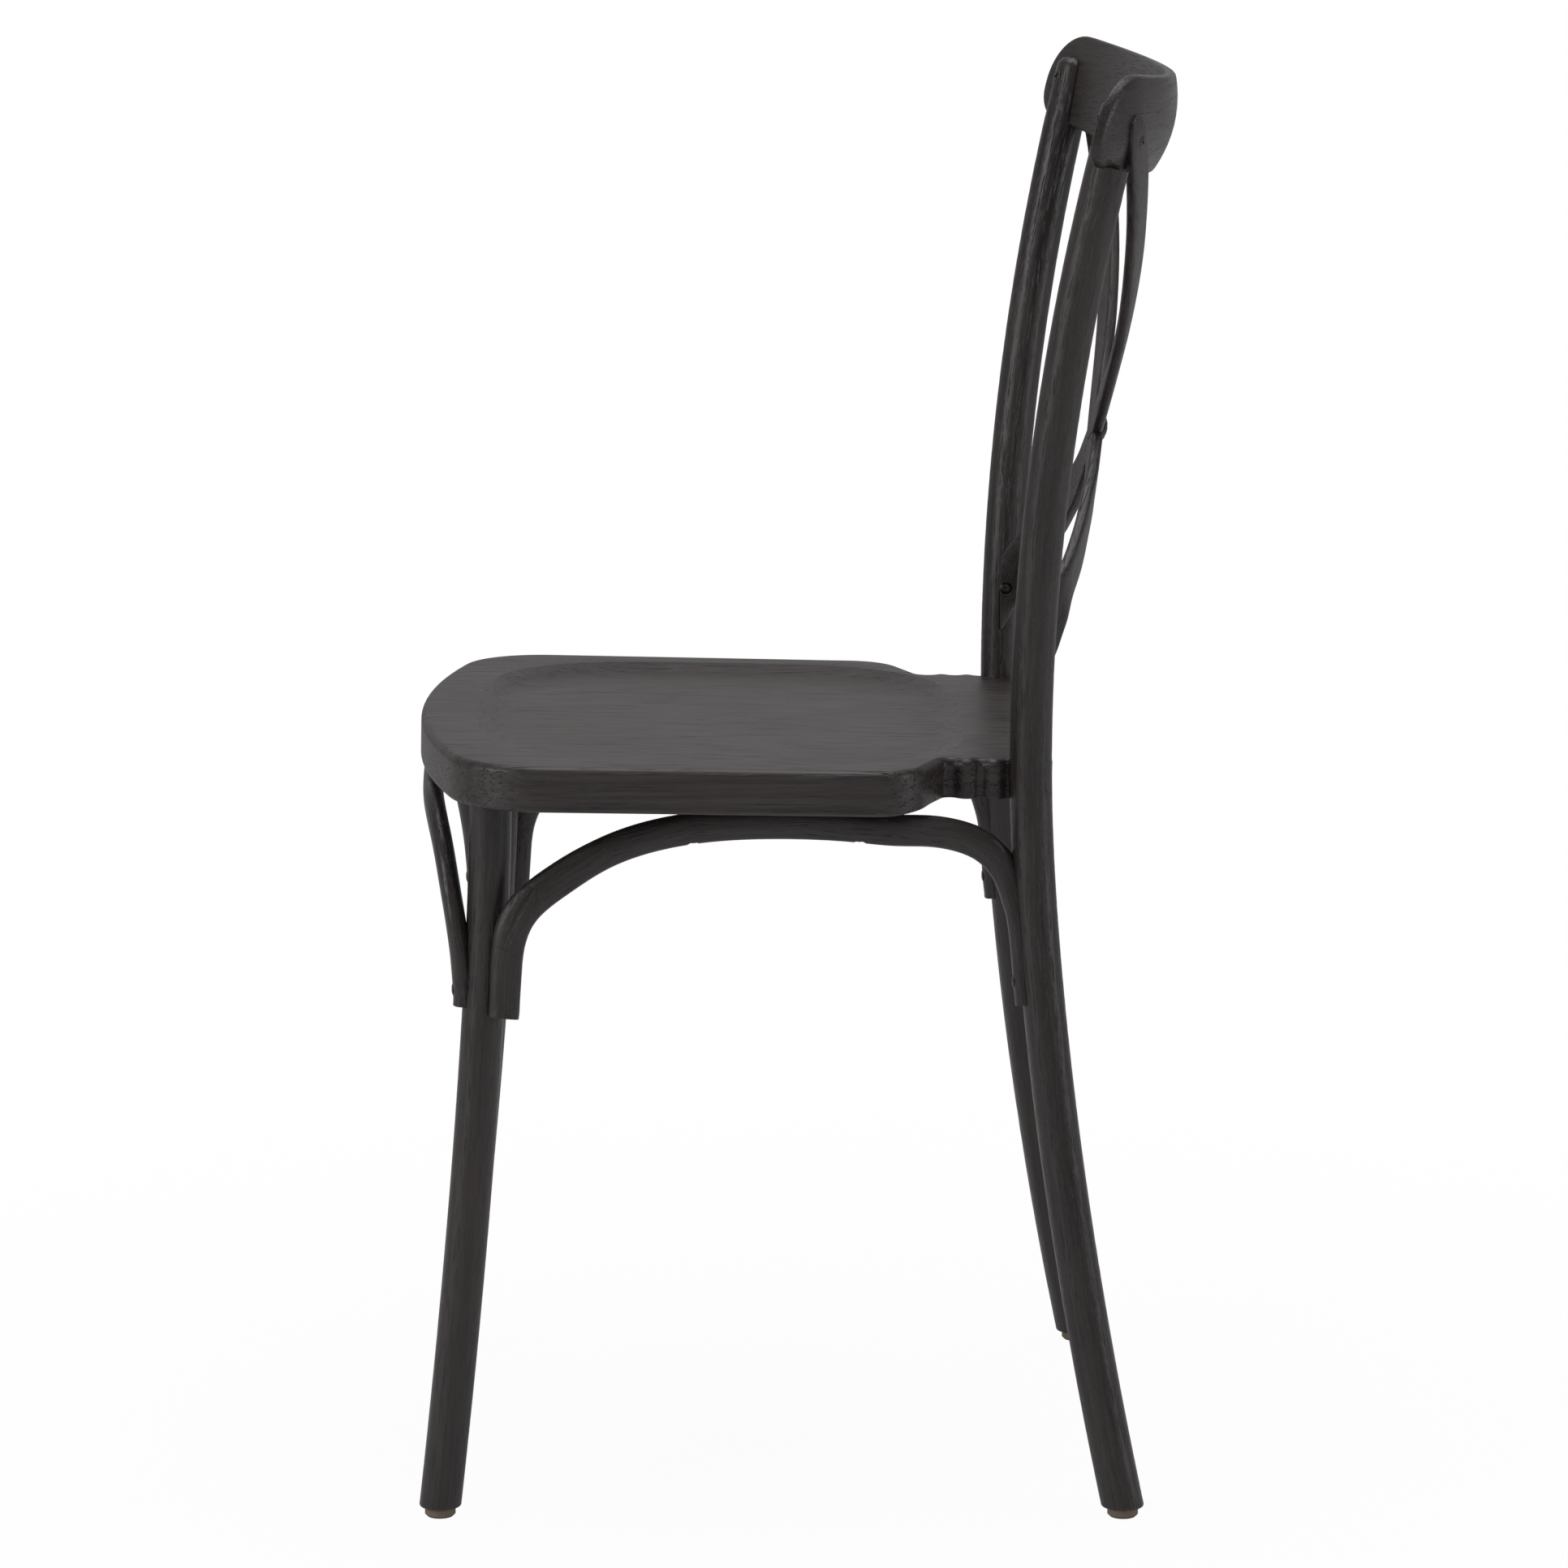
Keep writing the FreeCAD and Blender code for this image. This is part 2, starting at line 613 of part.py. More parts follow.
def turned(profile, start, direction):
    """A solid turned from (radius, depth) points, pointing along a direction from a start."""
    points = [Vector(r, 0, d) for r, d in profile]
    face = Part.Face(Part.makePolygon(points + [points[0]]))
    solid = face.revolve(Vector(0, 0, 0), UP, 360)
    solid.Placement = FreeCAD.Placement(start, FreeCAD.Rotation(UP, direction))
    return solid


def wood_screw(start, direction, length):
    """A raised countersunk screw with a cross recess. Start is the middle of the head's rim plane."""
    head, shank, cone = screw_head_diameter / 2, screw_diameter / 2, screw_head_height
    screw = turned([(0, -0.9), (head * 0.6, -0.6), (head, 0), (shank, cone), (shank, length - 4),
                    (0.3, length), (0, length)], start, direction)
    for turn in (0, 90):
        blade = Part.makeBox(head * 1.2, 1.0, 3.0, Vector(-head * 0.6, -0.5, -2.0))
        blade.rotate(Vector(0, 0, 0), UP, turn)
        blade.Placement = FreeCAD.Placement(start, FreeCAD.Rotation(UP, direction)).multiply(blade.Placement)
        screw = screw.cut(blade)
    return screw


def screw_room(start, direction, length):
    """The pilot, the countersink and the way in for a screw's head."""
    head, shank, cone = screw_head_diameter / 2, screw_diameter / 2, screw_head_height
    g = hole_gap
    return turned([(0, -6), (head + g, -6), (head + g, 0.1), (shank + g, cone + 0.2), (shank + g, length + g),
                   (0, length + g)], start, direction)


class Chair:
    """The pieces made so far, and the fasteners that join them."""

    def __init__(self):
        self.pieces = {}
        self.groups = {}
        self.rooms = {}

    def bore(self, room, names):
        """Notes a room that these pieces give up. They are cut at the end, each in one go."""
        for name in names:
            self.rooms.setdefault(name, []).append(room)

    def finish(self, twins):
        """Cuts the bores, and makes the right-hand twins from the left-hand pieces."""
        for name, piece in self.pieces.items():
            if name in self.rooms:
                self.pieces[name] = piece.cut(self.rooms[name])
        for name in twins:
            self.pieces["right_" + name] = mirrored(self.pieces["left_" + name])
        for group, solids in self.groups.items():
            self.pieces[group] = Part.makeCompound(solids)

    def add(self, group, solid):
        self.groups.setdefault(group, []).append(solid)

    def screw(self, group, start, direction, length, through):
        """One screw and its mirror image. Names in through are for the left-hand side."""
        self.pair(group, wood_screw(start, direction, length), screw_room(start, direction, length), through)

    def pair(self, group, solid, room, through):
        self.add(group, solid)
        self.add(group, mirrored(solid))
        self.bore(room, through)
        self.bore(mirrored(room), [other_side(name) for name in through])


def other_side(name):
    if name.startswith("left_"):
        return "right_" + name[5:]
    if name.startswith("right_"):
        return "left_" + name[6:]
    return name


def direction_between(start, end):
    line = end - start
    line.normalize()
    return line


def join_rail_and_slats(chair):
    # Post to rail, driven from the front of the halved post top.
    post = post_centre(post_top_height - 13)
    outward = rail_normal(math.degrees(math.asin(post.x / rail_bend_radius)))
    start = post - outward * (post_diameter / 2)
    chair.screw("rail_screws", start, outward, rail_screw_length, ["left_back_post", "top_rail"])
    # Slat to rail, driven from behind.
    inward = rail_normal(math.degrees(math.asin(slat_top_spread / rail_bend_radius))) * -1
    start = on_rail(slat_top_spread, slat_top_height - 2, rail_thickness / 2 + slat_proud)
    chair.screw("slat_top_screws", start, inward, slat_screw_length, ["left_cross_slat", "top_rail"])
    # Slat foot to post, driven from the inner face. The right post holds the left slat's foot.
    start = slat_foot() + Vector(slat_thickness / 2, 0, 0)
    chair.screw("slat_foot_screws", start, Vector(-1, 0, 0), slat_foot_screw_length,
                ["left_cross_slat", "right_back_post"])


def join_crossing(chair, slat_room):
    """A turned boss covers the crossing behind, and one screw holds the two slats to each other."""
    out = rail_normal(0)
    rear = on_rail(0, slat_cross_height, slat_offset + slat_thickness / 2)
    radius = crossing_boss_diameter / 2
    boss = turned([(0, -1), (radius, -1), (radius, crossing_boss_thickness / 2),
                   (0.67 * radius, crossing_boss_thickness), (0, crossing_boss_thickness)], rear, out)
    boss = boss.cut(slat_room).cut(mirrored(slat_room))
    start = rear + out * crossing_boss_thickness
    length = crossing_boss_thickness + slat_thickness - 1
    chair.pieces["crossing_boss"] = boss
    chair.bore(screw_room(start, out * -1, length), ["left_cross_slat", "right_cross_slat", "crossing_boss"])
    chair.add("crossing_screw", wood_screw(start, out * -1, length))


def join_bows(chair):
    # Side bow to front leg, from the inner side of the leg.
    height = bow_end_height + bow_leg_screw_up
    leg = leg_centre(height)
    toward = direction_between(leg, side_bow_points()[1])
    toward.z = 0
    toward.normalize()
    chair.screw("side_bow_leg_screws", leg - toward * (leg_diameter / 2), toward, bow_leg_screw_length,
                ["left_front_leg", "left_side_bow"])
    # Side bow to back post, through the thinned end.
    height = bow_end_height + bow_post_screw_up
    post = post_centre(height)
    start = Vector(post.x, post.y - post_diameter / 2 - bow_post_proud, height)
    chair.screw("side_bow_post_screws", start, BACK, bow_post_screw_length,
                ["left_side_bow", "left_back_post"])
    # Side bow up into the seat, at two places.
    up_length = bow_width - screw_sink + seat_screw_bite
    for point in (side_bow_points()[5], side_bow_points()[7]):
        start = point - UP * (bow_width / 2 - screw_sink)
        chair.screw("side_bow_seat_screws", start, UP, up_length, ["left_side_bow", "seat_panel"])
    # Front bow to the front legs.
    points = front_bow_points()
    start = points[0] + Vector(0, -bow_thickness * 0.46, 10)
    chair.screw("front_bow_leg_screws", start, BACK, front_bow_screw_length, ["front_bow", "left_front_leg"])
    # Front bow up into the seat.
    start = points[-1] + Vector(points[-2].x, 0, screw_sink - bow_width / 2)
    chair.screw("front_bow_seat_screws", start, UP, up_length, ["front_bow", "seat_panel"])


def join_seat_and_posts(chair, post_blank):
    """A bolt from behind each post into a threaded insert in the seat, hidden by a wood plug."""
    height = seat_height - seat_thickness / 2 - 0.5
    post = post_centre(height)
    a = math.radians(bolt_toe_in)
    ahead = Vector(-math.sin(a), -math.cos(a), 0)
    surface = post - ahead * (post_diameter / 2)
    g = hole_gap
    head_at = plug_thickness + 0.3
    washer_at = head_at + bolt_head_height + 0.1
    grip = washer_at + washer_thickness
    insert_at = post_diameter + fit_gap + 4
    bolt_end = insert_at + insert_length - 2
    head, shank = bolt_head_diameter / 2, bolt_diameter / 2
    well = head + 1.3
    bolt = turned([(0, head_at), (head, head_at), (head, head_at + bolt_head_height),
                   (shank, head_at + bolt_head_height), (shank, bolt_end), (0, bolt_end)], surface, ahead)
    washer = turned([(shank + g, washer_at), (well - 0.3, washer_at), (well - 0.3, grip), (shank + g, grip)],
                    surface, ahead)
    insert = turned([(shank + g, insert_at), (insert_diameter / 2, insert_at),
                     (insert_diameter / 2, insert_at + insert_length),
                     (shank + g, insert_at + insert_length)], surface, ahead)
    plug = turned([(0, -3), (well - g, -3), (well - g, plug_thickness), (0, plug_thickness)], surface, ahead)
    plug = plug.common(post_blank)
    beyond = 2 * post_diameter
    post_room = turned([(0, -6), (well, -6), (well, grip + 0.1), (shank + g, grip + 0.1), (shank + g, beyond),
                        (0, beyond)], surface, ahead)
    wide, narrow, from_post = insert_diameter / 2 + g, shank + 2 * g, post_diameter / 2
    insert_end = insert_at + insert_length + g
    seat_room = turned([(0, from_post), (narrow, from_post), (narrow, insert_at - g), (wide, insert_at - g),
                        (wide, insert_end), (0, insert_end)], surface, ahead)
    chair.pair("seat_bolts", bolt, post_room, ["left_back_post"])
    chair.bore(seat_room, ["seat_panel"])
    chair.bore(mirrored(seat_room), ["seat_panel"])
    for group, solid in (("bolt_washers", washer), ("seat_inserts", insert), ("bolt_cover_plugs", plug)):
        chair.add(group, solid)
        chair.add(group, mirrored(solid))


def add_glides(chair):
    """A fibre pad nailed under each foot."""
    feet = (("front_glide", leg_centre(glide_thickness), "left_front_leg"),
            ("back_glide", post_centre(glide_thickness), "left_back_post"))
    radius, nail, head, g = glide_diameter / 2, nail_diameter / 2, nail_head_diameter / 2, hole_gap
    for name, centre, leg in feet:
        floor = Vector(centre.x, centre.y, 0)
        pad = turned([(0, 0), (radius - glide_edge, 0), (radius, glide_edge), (radius, glide_thickness),
                      (0, glide_thickness)], floor, UP)
        spike = turned([(0, nail_head_bottom), (head, nail_head_bottom), (head, nail_head_top),
                        (nail, nail_head_top), (nail, nail_length), (0, nail_length)], floor, UP)
        room = turned([(0, -1), (head + g, -1), (head + g, nail_head_top + g), (nail + g, nail_head_top + g),
                       (nail + g, nail_length + g), (0, nail_length + g)], floor, UP)
        chair.pieces["left_" + name] = pad
        chair.pair("glide_nails", spike, room, ["left_" + name, leg])


# Assembly

def build():
    chair = Chair()
    pieces = chair.pieces
    post_blank = turned_leg(post_centre, glide_thickness, post_top_height, post_diameter)
    post_room = turned_leg(post_centre, glide_thickness, post_top_height, post_diameter + 2 * fit_gap)
    leg, post = make_front_leg(), make_back_post()
    side_bow, front_bow = make_side_bow(), make_front_bow()
    slat, slat_room = make_slat(), make_slat(fit_gap)
    # The bows are coped to the legs, and their thinned ends are let into them.
    leg_room = turned_leg(leg_centre, glide_thickness, seat_under(leg_top_y) + 5, leg_diameter + 2 * fit_gap)
    side_bow = side_bow.cut(leg_room)
    post = post.cut(make_side_bow(fit_gap)).cut(mirrored(slat_room))
    leg = leg.cut(make_front_bow(fit_gap))
    pieces["left_side_bow"] = side_bow
    pieces["front_bow"] = front_bow
    pieces["left_front_leg"] = leg
    pieces["left_back_post"] = post
    seat = make_seat(post_room, mirrored(post_room))
    top = seat_under(leg_top_y)
    socket = rod(leg_centre(top - 2), UP, tenon_diameter / 2 + fit_gap, tenon_length + 2 + fit_gap)
    pieces["seat_panel"] = seat.cut(socket).cut(mirrored(socket))
    pieces["top_rail"] = make_top_rail().cut(slat_room).cut(mirrored(slat_room))
    # The slats are halved where they cross, the left one behind.
    pieces["left_cross_slat"] = slat.cut(lap_room(mirrored(slat_room), -1))
    pieces["right_cross_slat"] = mirrored(slat).cut(lap_room(slat_room, 1))
    join_rail_and_slats(chair)
    join_crossing(chair, slat_room)
    join_bows(chair)
    join_seat_and_posts(chair, post_blank)
    add_glides(chair)
    chair.finish(("side_bow", "front_leg", "back_post", "front_glide", "back_glide"))
    return pieces


def main():
    os.makedirs("parts", exist_ok=True)
    for name, shape in build().items():
        shape.exportStep("parts/" + name + ".step")
        print(name, len(shape.Solids), round(shape.Volume, 1), shape.isValid())


main()
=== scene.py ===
# %% [markdown]
# A cross back chair, dressed in Blender.
# The chair itself is already built: solid pieces of bent and turned wood, with their screws and glides.
# This lesson gives each of those pieces its finish: a near-black stain under satin lacquer, through which the
# grain still shows, dark screws, and tan pads under the feet. Then it sets up a plain studio and a camera.
# All lengths are in metres.

# %% Load the chair
import math

import bmesh
import bpy
import numpy as np
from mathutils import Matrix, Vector


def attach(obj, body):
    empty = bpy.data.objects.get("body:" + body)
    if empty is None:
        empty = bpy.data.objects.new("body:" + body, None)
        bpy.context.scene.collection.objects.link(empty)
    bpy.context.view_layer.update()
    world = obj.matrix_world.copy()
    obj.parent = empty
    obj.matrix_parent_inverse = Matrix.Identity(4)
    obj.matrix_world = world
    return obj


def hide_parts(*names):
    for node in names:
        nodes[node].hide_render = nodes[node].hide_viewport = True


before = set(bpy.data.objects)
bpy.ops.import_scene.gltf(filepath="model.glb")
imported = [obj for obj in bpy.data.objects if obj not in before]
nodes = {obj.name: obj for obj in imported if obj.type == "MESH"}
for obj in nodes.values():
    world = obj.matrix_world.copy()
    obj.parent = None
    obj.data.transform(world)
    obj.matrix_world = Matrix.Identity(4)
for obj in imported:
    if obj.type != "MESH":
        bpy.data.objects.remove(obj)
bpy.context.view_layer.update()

# %% [markdown]
# Wood grain runs along each piece, also where the piece is bent: a bent rail is a straight plank that was
# steamed and pressed round a form, so its grain bends with it. A pattern laid straight through space would
# cut across the bends. So each piece gets a middle line, and every point of its mesh is measured from that
# line: how far along it lies, and how far to each side. Those three numbers are the pattern's coordinates.
# "To each side" needs a fixed direction to start from. A slanting one is used, because no piece of the chair
# runs along it.

# %% Measure points from a middle line
SLANTING = (0.36, 0.48, 0.8)


def measured_from_line(points, line):
    """For each point: its distances across the line both ways, and along it."""
    line = np.array(line, float)
    starts, steps = line[:-1], line[1:] - line[:-1]
    lengths = np.linalg.norm(steps, axis=1)
    before = np.concatenate([[0], np.cumsum(lengths)[:-1]])
    nearest = np.full(len(points), np.inf)
    measured = np.zeros((len(points), 3))
    for i, (start, step, length) in enumerate(zip(starts, steps, lengths)):
        share = ((points - start) @ step) / length ** 2
        # The first and the last stretch also run on past the ends of the line.
        low = -np.inf if i == 0 else 0
        high = np.inf if i == len(starts) - 1 else 1
        share = np.clip(share, low, high)
        offset = points - (start + share[:, None] * step)
        distance = np.linalg.norm(offset, axis=1)
        along = step / length
        side = np.cross(along, SLANTING)
        side /= np.linalg.norm(side)
        closer = distance < nearest
        measured[closer, 0] = (offset @ side)[closer]
        measured[closer, 1] = (offset @ np.cross(along, side))[closer]
        measured[closer, 2] = before[i] + share[closer] * length
        nearest[closer] = distance[closer]
    return measured


test_point = np.array([[0.01, 0, 0.5]])
print("a point 1 cm beside an upright line:", measured_from_line(test_point, [(0, 0, 0), (0, 0, 1)])[0])

# %% [markdown]
# The middle lines are short lists of points, for the left-hand side of the chair. The right-hand pieces use
# the mirror image. Legs and posts run from the floor up, the side bows from the leg back to the post, and the
# front bow and the rail from the left to the right. A slat runs from its upper end on the rail down to the
# other post, and the seat's line from the front edge to the back.

# %% Middle lines of the wooden pieces
front_leg_line = [(0.194, -0.224, 0.006), (0.180, -0.201, 0.24), (0.173, -0.190, 0.46)]
back_post_line = [(0.205, 0.197, 0.006), (0.190, 0.175, 0.12), (0.176, 0.157, 0.24), (0.164, 0.145, 0.36),
                  (0.157, 0.140, 0.466), (0.163, 0.146, 0.60), (0.176, 0.163, 0.74), (0.192, 0.191, 0.87)]
side_bow_line = [(0.193, -0.182, 0.314), (0.192, -0.179, 0.355), (0.189, -0.160, 0.390),
                 (0.184, -0.120, 0.415), (0.180, -0.067, 0.428), (0.180, 0.000, 0.431),
                 (0.178, 0.056, 0.427), (0.166, 0.096, 0.420), (0.162, 0.120, 0.405),
                 (0.163, 0.132, 0.370), (0.168, 0.137, 0.314)]
half_front_bow = [(0.177, -0.208, 0.319), (0.176, -0.210, 0.355), (0.167, -0.216, 0.393),
                  (0.145, -0.221, 0.419), (0.105, -0.226, 0.433), (0.055, -0.228, 0.436)]
half_rail = [(0.213, 0.176, 0.846), (0.165, 0.198, 0.846), (0.110, 0.216, 0.846), (0.055, 0.226, 0.846)]
slat_line = [(0.190, 0.188, 0.858), (0.118, 0.210, 0.780), (0.060, 0.206, 0.715), (0.0, 0.190, 0.650),
             (-0.055, 0.168, 0.604), (-0.110, 0.151, 0.562), (-0.143, 0.141, 0.526), (-0.146, 0.138, 0.500)]
seat_line = [(0, -0.24, 0.46), (0, 0.16, 0.46)]


def other_hand(line):
    """The mirror image of a line, for the right-hand side of the chair."""
    return [(-x, y, z) for x, y, z in line]


def whole(half, middle):
    """A line from one side of the chair to the other, from its left half and its middle point."""
    return half + [middle] + other_hand(half)[::-1]


front_bow_line = whole(half_front_bow, (0, -0.229, 0.436))
rail_line = whole(half_rail, (0, 0.229, 0.846))
rail_length = sum(math.dist(a, b) for a, b in zip(rail_line, rail_line[1:]))
print("the top rail is", round(rail_length, 3), "m along its bend")

# %% [markdown]
# The built meshes stay as they are, so each wooden piece gets a stand-in: a copy of its mesh, or for the top
# rail a mesh of its own. The measurements go into it as an attribute named "grain", a vector on each vertex,
# which a material can read by that name. Each piece also starts at its own place in the pattern, so that no
# two show the same streaks. The copy is sanded too, so to speak: its facets are shaded as one smooth skin
# that only breaks at real corners, and a Weighted Normal modifier keeps the large flat faces flat.

# %% Make the stand-in for a wooden piece
REAL_CORNER = math.radians(38)
SEAM_GAP = 0.000002


def sanded_copy(mesh):
    """A copy of a built mesh, welded along its seams and shaded smoothly."""
    copy = mesh.copy()
    copy.materials.clear()
    if "custom_normal" in copy.attributes:
        copy.attributes.remove(copy.attributes["custom_normal"])
    skin = bmesh.new()
    skin.from_mesh(copy)
    bmesh.ops.remove_doubles(skin, verts=skin.verts, dist=SEAM_GAP)
    skin.to_mesh(copy)
    skin.free()
    copy.shade_smooth()
    copy.set_sharp_from_angle(angle=REAL_CORNER)
    return copy


def wooden(name, line, start, mesh=None):
    """The stand-in for a built piece, which knows how its grain runs."""
    if mesh is None:
        mesh = sanded_copy(nodes[name].data)
    piece = bpy.data.objects.new(name + "_wood", mesh)
    bpy.context.scene.collection.objects.link(piece)
    flatness = piece.modifiers.new("flat faces stay flat", "WEIGHTED_NORMAL")
    flatness.mode = "FACE_AREA_WITH_ANGLE"
    flatness.keep_sharp = True
    points = np.zeros(len(mesh.vertices) * 3)
    mesh.vertices.foreach_get("co", points)
    grain = measured_from_line(points.reshape(-1, 3), line) + (start, 0, 0)
    attribute = mesh.attributes.new("grain", "FLOAT_VECTOR", "POINT")
    attribute.data.foreach_set("vector", grain.ravel().astype(np.float32))
    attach(piece, "root")
    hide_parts(name)
    return piece


print("sharp only where faces meet at more than", round(math.degrees(REAL_CORNER)), "degrees")

# %% [markdown]
# The top rail is a plank whose front is flat across and whose back is shaped by hand with a spokeshave: full
# in the middle and thin at the rim, all the way round, also at the two ends. A plank sawn to an outline and
# bevelled would keep thick ends. So its mesh is made of rings that step from the rim in to the middle line,
# first over the front and then over the crowned back. This cell draws the outline of the flat plank: a
# straight upper edge, big upper corners, smaller lower ones, and a lower edge that hangs a little.

# %% Outline of the top rail
RAIL_HALF = 0.213
RAIL_TOP = 0.031
RAIL_END_LOW = -0.0268
RAIL_BELLY = 0.0045
RAIL_UPPER_CORNER = 0.037
RAIL_LOWER_CORNER = 0.017
EDGE_STEPS = 40
CORNER_STEPS = 14


def half_rail_outline():
    """Points from the middle of the rail's top round its left end to the middle of its lower edge."""
    points = []
    straight = RAIL_HALF - RAIL_UPPER_CORNER
    for i in range(EDGE_STEPS):
        points.append((straight * i / EDGE_STEPS, RAIL_TOP))
    for i in range(CORNER_STEPS + 1):
        turn = math.pi / 2 * i / CORNER_STEPS
        points.append((straight + RAIL_UPPER_CORNER * math.sin(turn),
                       RAIL_TOP + RAIL_UPPER_CORNER * (math.cos(turn) - 1)))
    straight = RAIL_HALF - RAIL_LOWER_CORNER
    for i in range(CORNER_STEPS + 1):
        turn = math.pi / 2 * i / CORNER_STEPS
        points.append((straight + RAIL_LOWER_CORNER * math.cos(turn),
                       RAIL_END_LOW + RAIL_LOWER_CORNER * (1 - math.sin(turn))))
    for i in range(1, EDGE_STEPS + 1):
        x = straight * (1 - i / EDGE_STEPS)
        points.append((x, RAIL_END_LOW - RAIL_BELLY * (1 - (x / straight) ** 2)))
    return points


print("the rail's outline has", 2 * len(half_rail_outline()) - 2, "points")

# %% [markdown]
# Cut the plank through and look at the cut: a flat front, a crisp front edge, a thin rim and a back that
# swells to the middle. Each point of that profile is a share of the way in from the rim, and a depth. The
# front edge is given from the front face, and the rear edge from the rear of the thin rim.

# %% Profile of the top rail
RAIL_THICKNESS = 0.013
RAIL_CROWN = 0.0066
FRONT_FLAT = (1.0, 0.5, 0.16)
FRONT_EDGE = ((0.045, 0.0001), (0.018, 0.0005), (0.005, 0.0012), (0.0, 0.0022))
REAR_EDGE = ((0.003, -0.0016), (0.015, -0.0006), (0.04, 0.0003))
REAR_CROWN = (0.09, 0.17, 0.28, 0.42, 0.6, 0.8, 1.0)


def rail_profile():
    """Share of the way from the rim to the middle, and depth behind the rail's middle sheet."""
    front, rear = -RAIL_THICKNESS / 2, RAIL_THICKNESS / 2
    rim_rear = rear - RAIL_CROWN
    profile = [(share, front) for share in FRONT_FLAT]
    profile += [(share, front + depth) for share, depth in FRONT_EDGE]
    profile += [(share, rim_rear + depth) for share, depth in REAR_EDGE]
    profile += [(share, rear - RAIL_CROWN * (1 - share) ** 2) for share in REAR_CROWN]
    return profile


print("the rail is made of", len(rail_profile()), "rings")

# %% [markdown]
# The rings are still flat. The last step bends each point round the rail's radius and leans it back with the
# posts, as the steamed plank is pressed round its form and then fixed to the leaning posts.

# %% Bend the top rail
RAIL_BEND = 0.462
RAIL_LEAN = math.radians(13.0)
RAIL_MIDDLE = (0.0, 0.2292, 0.8457)
SAME_POINT = 0.00002


def bent_and_leaned(x, depth, z):
    """Carries a point of the flat rail to its place on the chair."""
    ahead = math.sqrt((RAIL_BEND + depth) ** 2 - x ** 2) - RAIL_BEND
    return (RAIL_MIDDLE[0] + x,
            RAIL_MIDDLE[1] + ahead * math.cos(RAIL_LEAN) + z * math.sin(RAIL_LEAN),
            RAIL_MIDDLE[2] - ahead * math.sin(RAIL_LEAN) + z * math.cos(RAIL_LEAN))


def rail_mesh():
    """The top rail's mesh, from rings that follow the outline at each point of the profile."""
    half = half_rail_outline()
    outline = half + [(-x, z) for x, z in half[-2:0:-1]]
    inner_end = RAIL_HALF - RAIL_UPPER_CORNER
    profile = rail_profile()
    vertices, faces = [], []
    for share, depth in profile:
        for x, z in outline:
            middle_x = max(-inner_end, min(inner_end, x))
            vertices.append(bent_and_leaned(x + (middle_x - x) * share, depth, z * (1 - share)))
    count = len(outline)
    for ring in range(len(profile) - 1):
        for i in range(count):
            j = (i + 1) % count
            low, high = ring * count, (ring + 1) * count
            faces.append((low + i, low + j, high + j, high + i))
    mesh = bpy.data.meshes.new("top_rail_shape")
    mesh.from_pydata(vertices, [], faces)
    shape = bmesh.new()
    shape.from_mesh(mesh)
    bmesh.ops.remove_doubles(shape, verts=shape.verts, dist=SAME_POINT)
    bmesh.ops.recalc_face_normals(shape, faces=shape.faces)
    shape.to_mesh(mesh)
    shape.free()
    mesh.shade_smooth()
    print("top rail mesh with", len(mesh.polygons), "faces")
    return mesh


top_rail_shape = rail_mesh()

# %% [markdown]
# The legs and posts are turned or drawn round, the bows, the slats and the rail are bent, and the seat is a
# flat panel with its grain running from front to back. Legs, posts and side bows come in left and right
# pairs. The two slats are crossed, so each is the mirror image of the other as well. The number given for a
# piece is where it starts in the pattern of the grain, and no two are the same.

# %% Stand-ins for the legs, posts, bows, slats, rail and seat
paired_lines = {"front_leg": front_leg_line, "back_post": back_post_line, "side_bow": side_bow_line}
LEFT_START = 0.3
RIGHT_START = 5.3
wood = {}
for order, (name, line) in enumerate(paired_lines.items()):
    wood["left_" + name] = wooden("left_" + name, line, LEFT_START + order)
    wood["right_" + name] = wooden("right_" + name, other_hand(line), RIGHT_START + order)
wood["left_cross_slat"] = wooden("left_cross_slat", slat_line, 10.1)
wood["right_cross_slat"] = wooden("right_cross_slat", other_hand(slat_line), 11.2)
wood["front_bow"] = wooden("front_bow", front_bow_line, 12.4)
wood["top_rail"] = wooden("top_rail", rail_line, 13.6, top_rail_shape)
wood["seat_panel"] = wooden("seat_panel", seat_line, 14.7)
print(len(wood), "wooden pieces know their grain")

# %% [markdown]
# Materials are built from nodes. A few small helpers keep the code readable. One adds a node and sets its
# values, one adds a number operation, one adds noise, and one starts an empty node group, which is a set of
# nodes that several materials can share.

# %% Helpers for node trees
def add(tree, kind, place=(0, 0), **values):
    """A node of a kind, with its settings given by name."""
    node = tree.nodes.new(kind)
    node.location = place
    for name, value in values.items():
        setattr(node, name, value)
    return node


def number(tree, operation, *operands, clamp=False):
    """One operation on numbers. Each operand is a value or another node's socket."""
    node = add(tree, "ShaderNodeMath", operation=operation, use_clamp=clamp)
    for socket, operand in zip(node.inputs, operands):
        if isinstance(operand, (int, float)):
            socket.default_value = operand
        else:
            tree.links.new(operand, socket)
    return node.outputs[0]


def noise(tree, place, vector, scale, detail=2.0, roughness=0.5):
    """Noise from 0 to 1. The scale is a value or a socket, and a higher detail adds finer noise to it."""
    node = add(tree, "ShaderNodeTexNoise", place, noise_dimensions="3D")
    tree.links.new(vector, node.inputs["Vector"])
    if isinstance(scale, float):
        node.inputs["Scale"].default_value = scale
    else:
        tree.links.new(scale, node.inputs["Scale"])
    node.inputs["Detail"].default_value = detail
    node.inputs["Roughness"].default_value = roughness
    return node.outputs["Fac"]


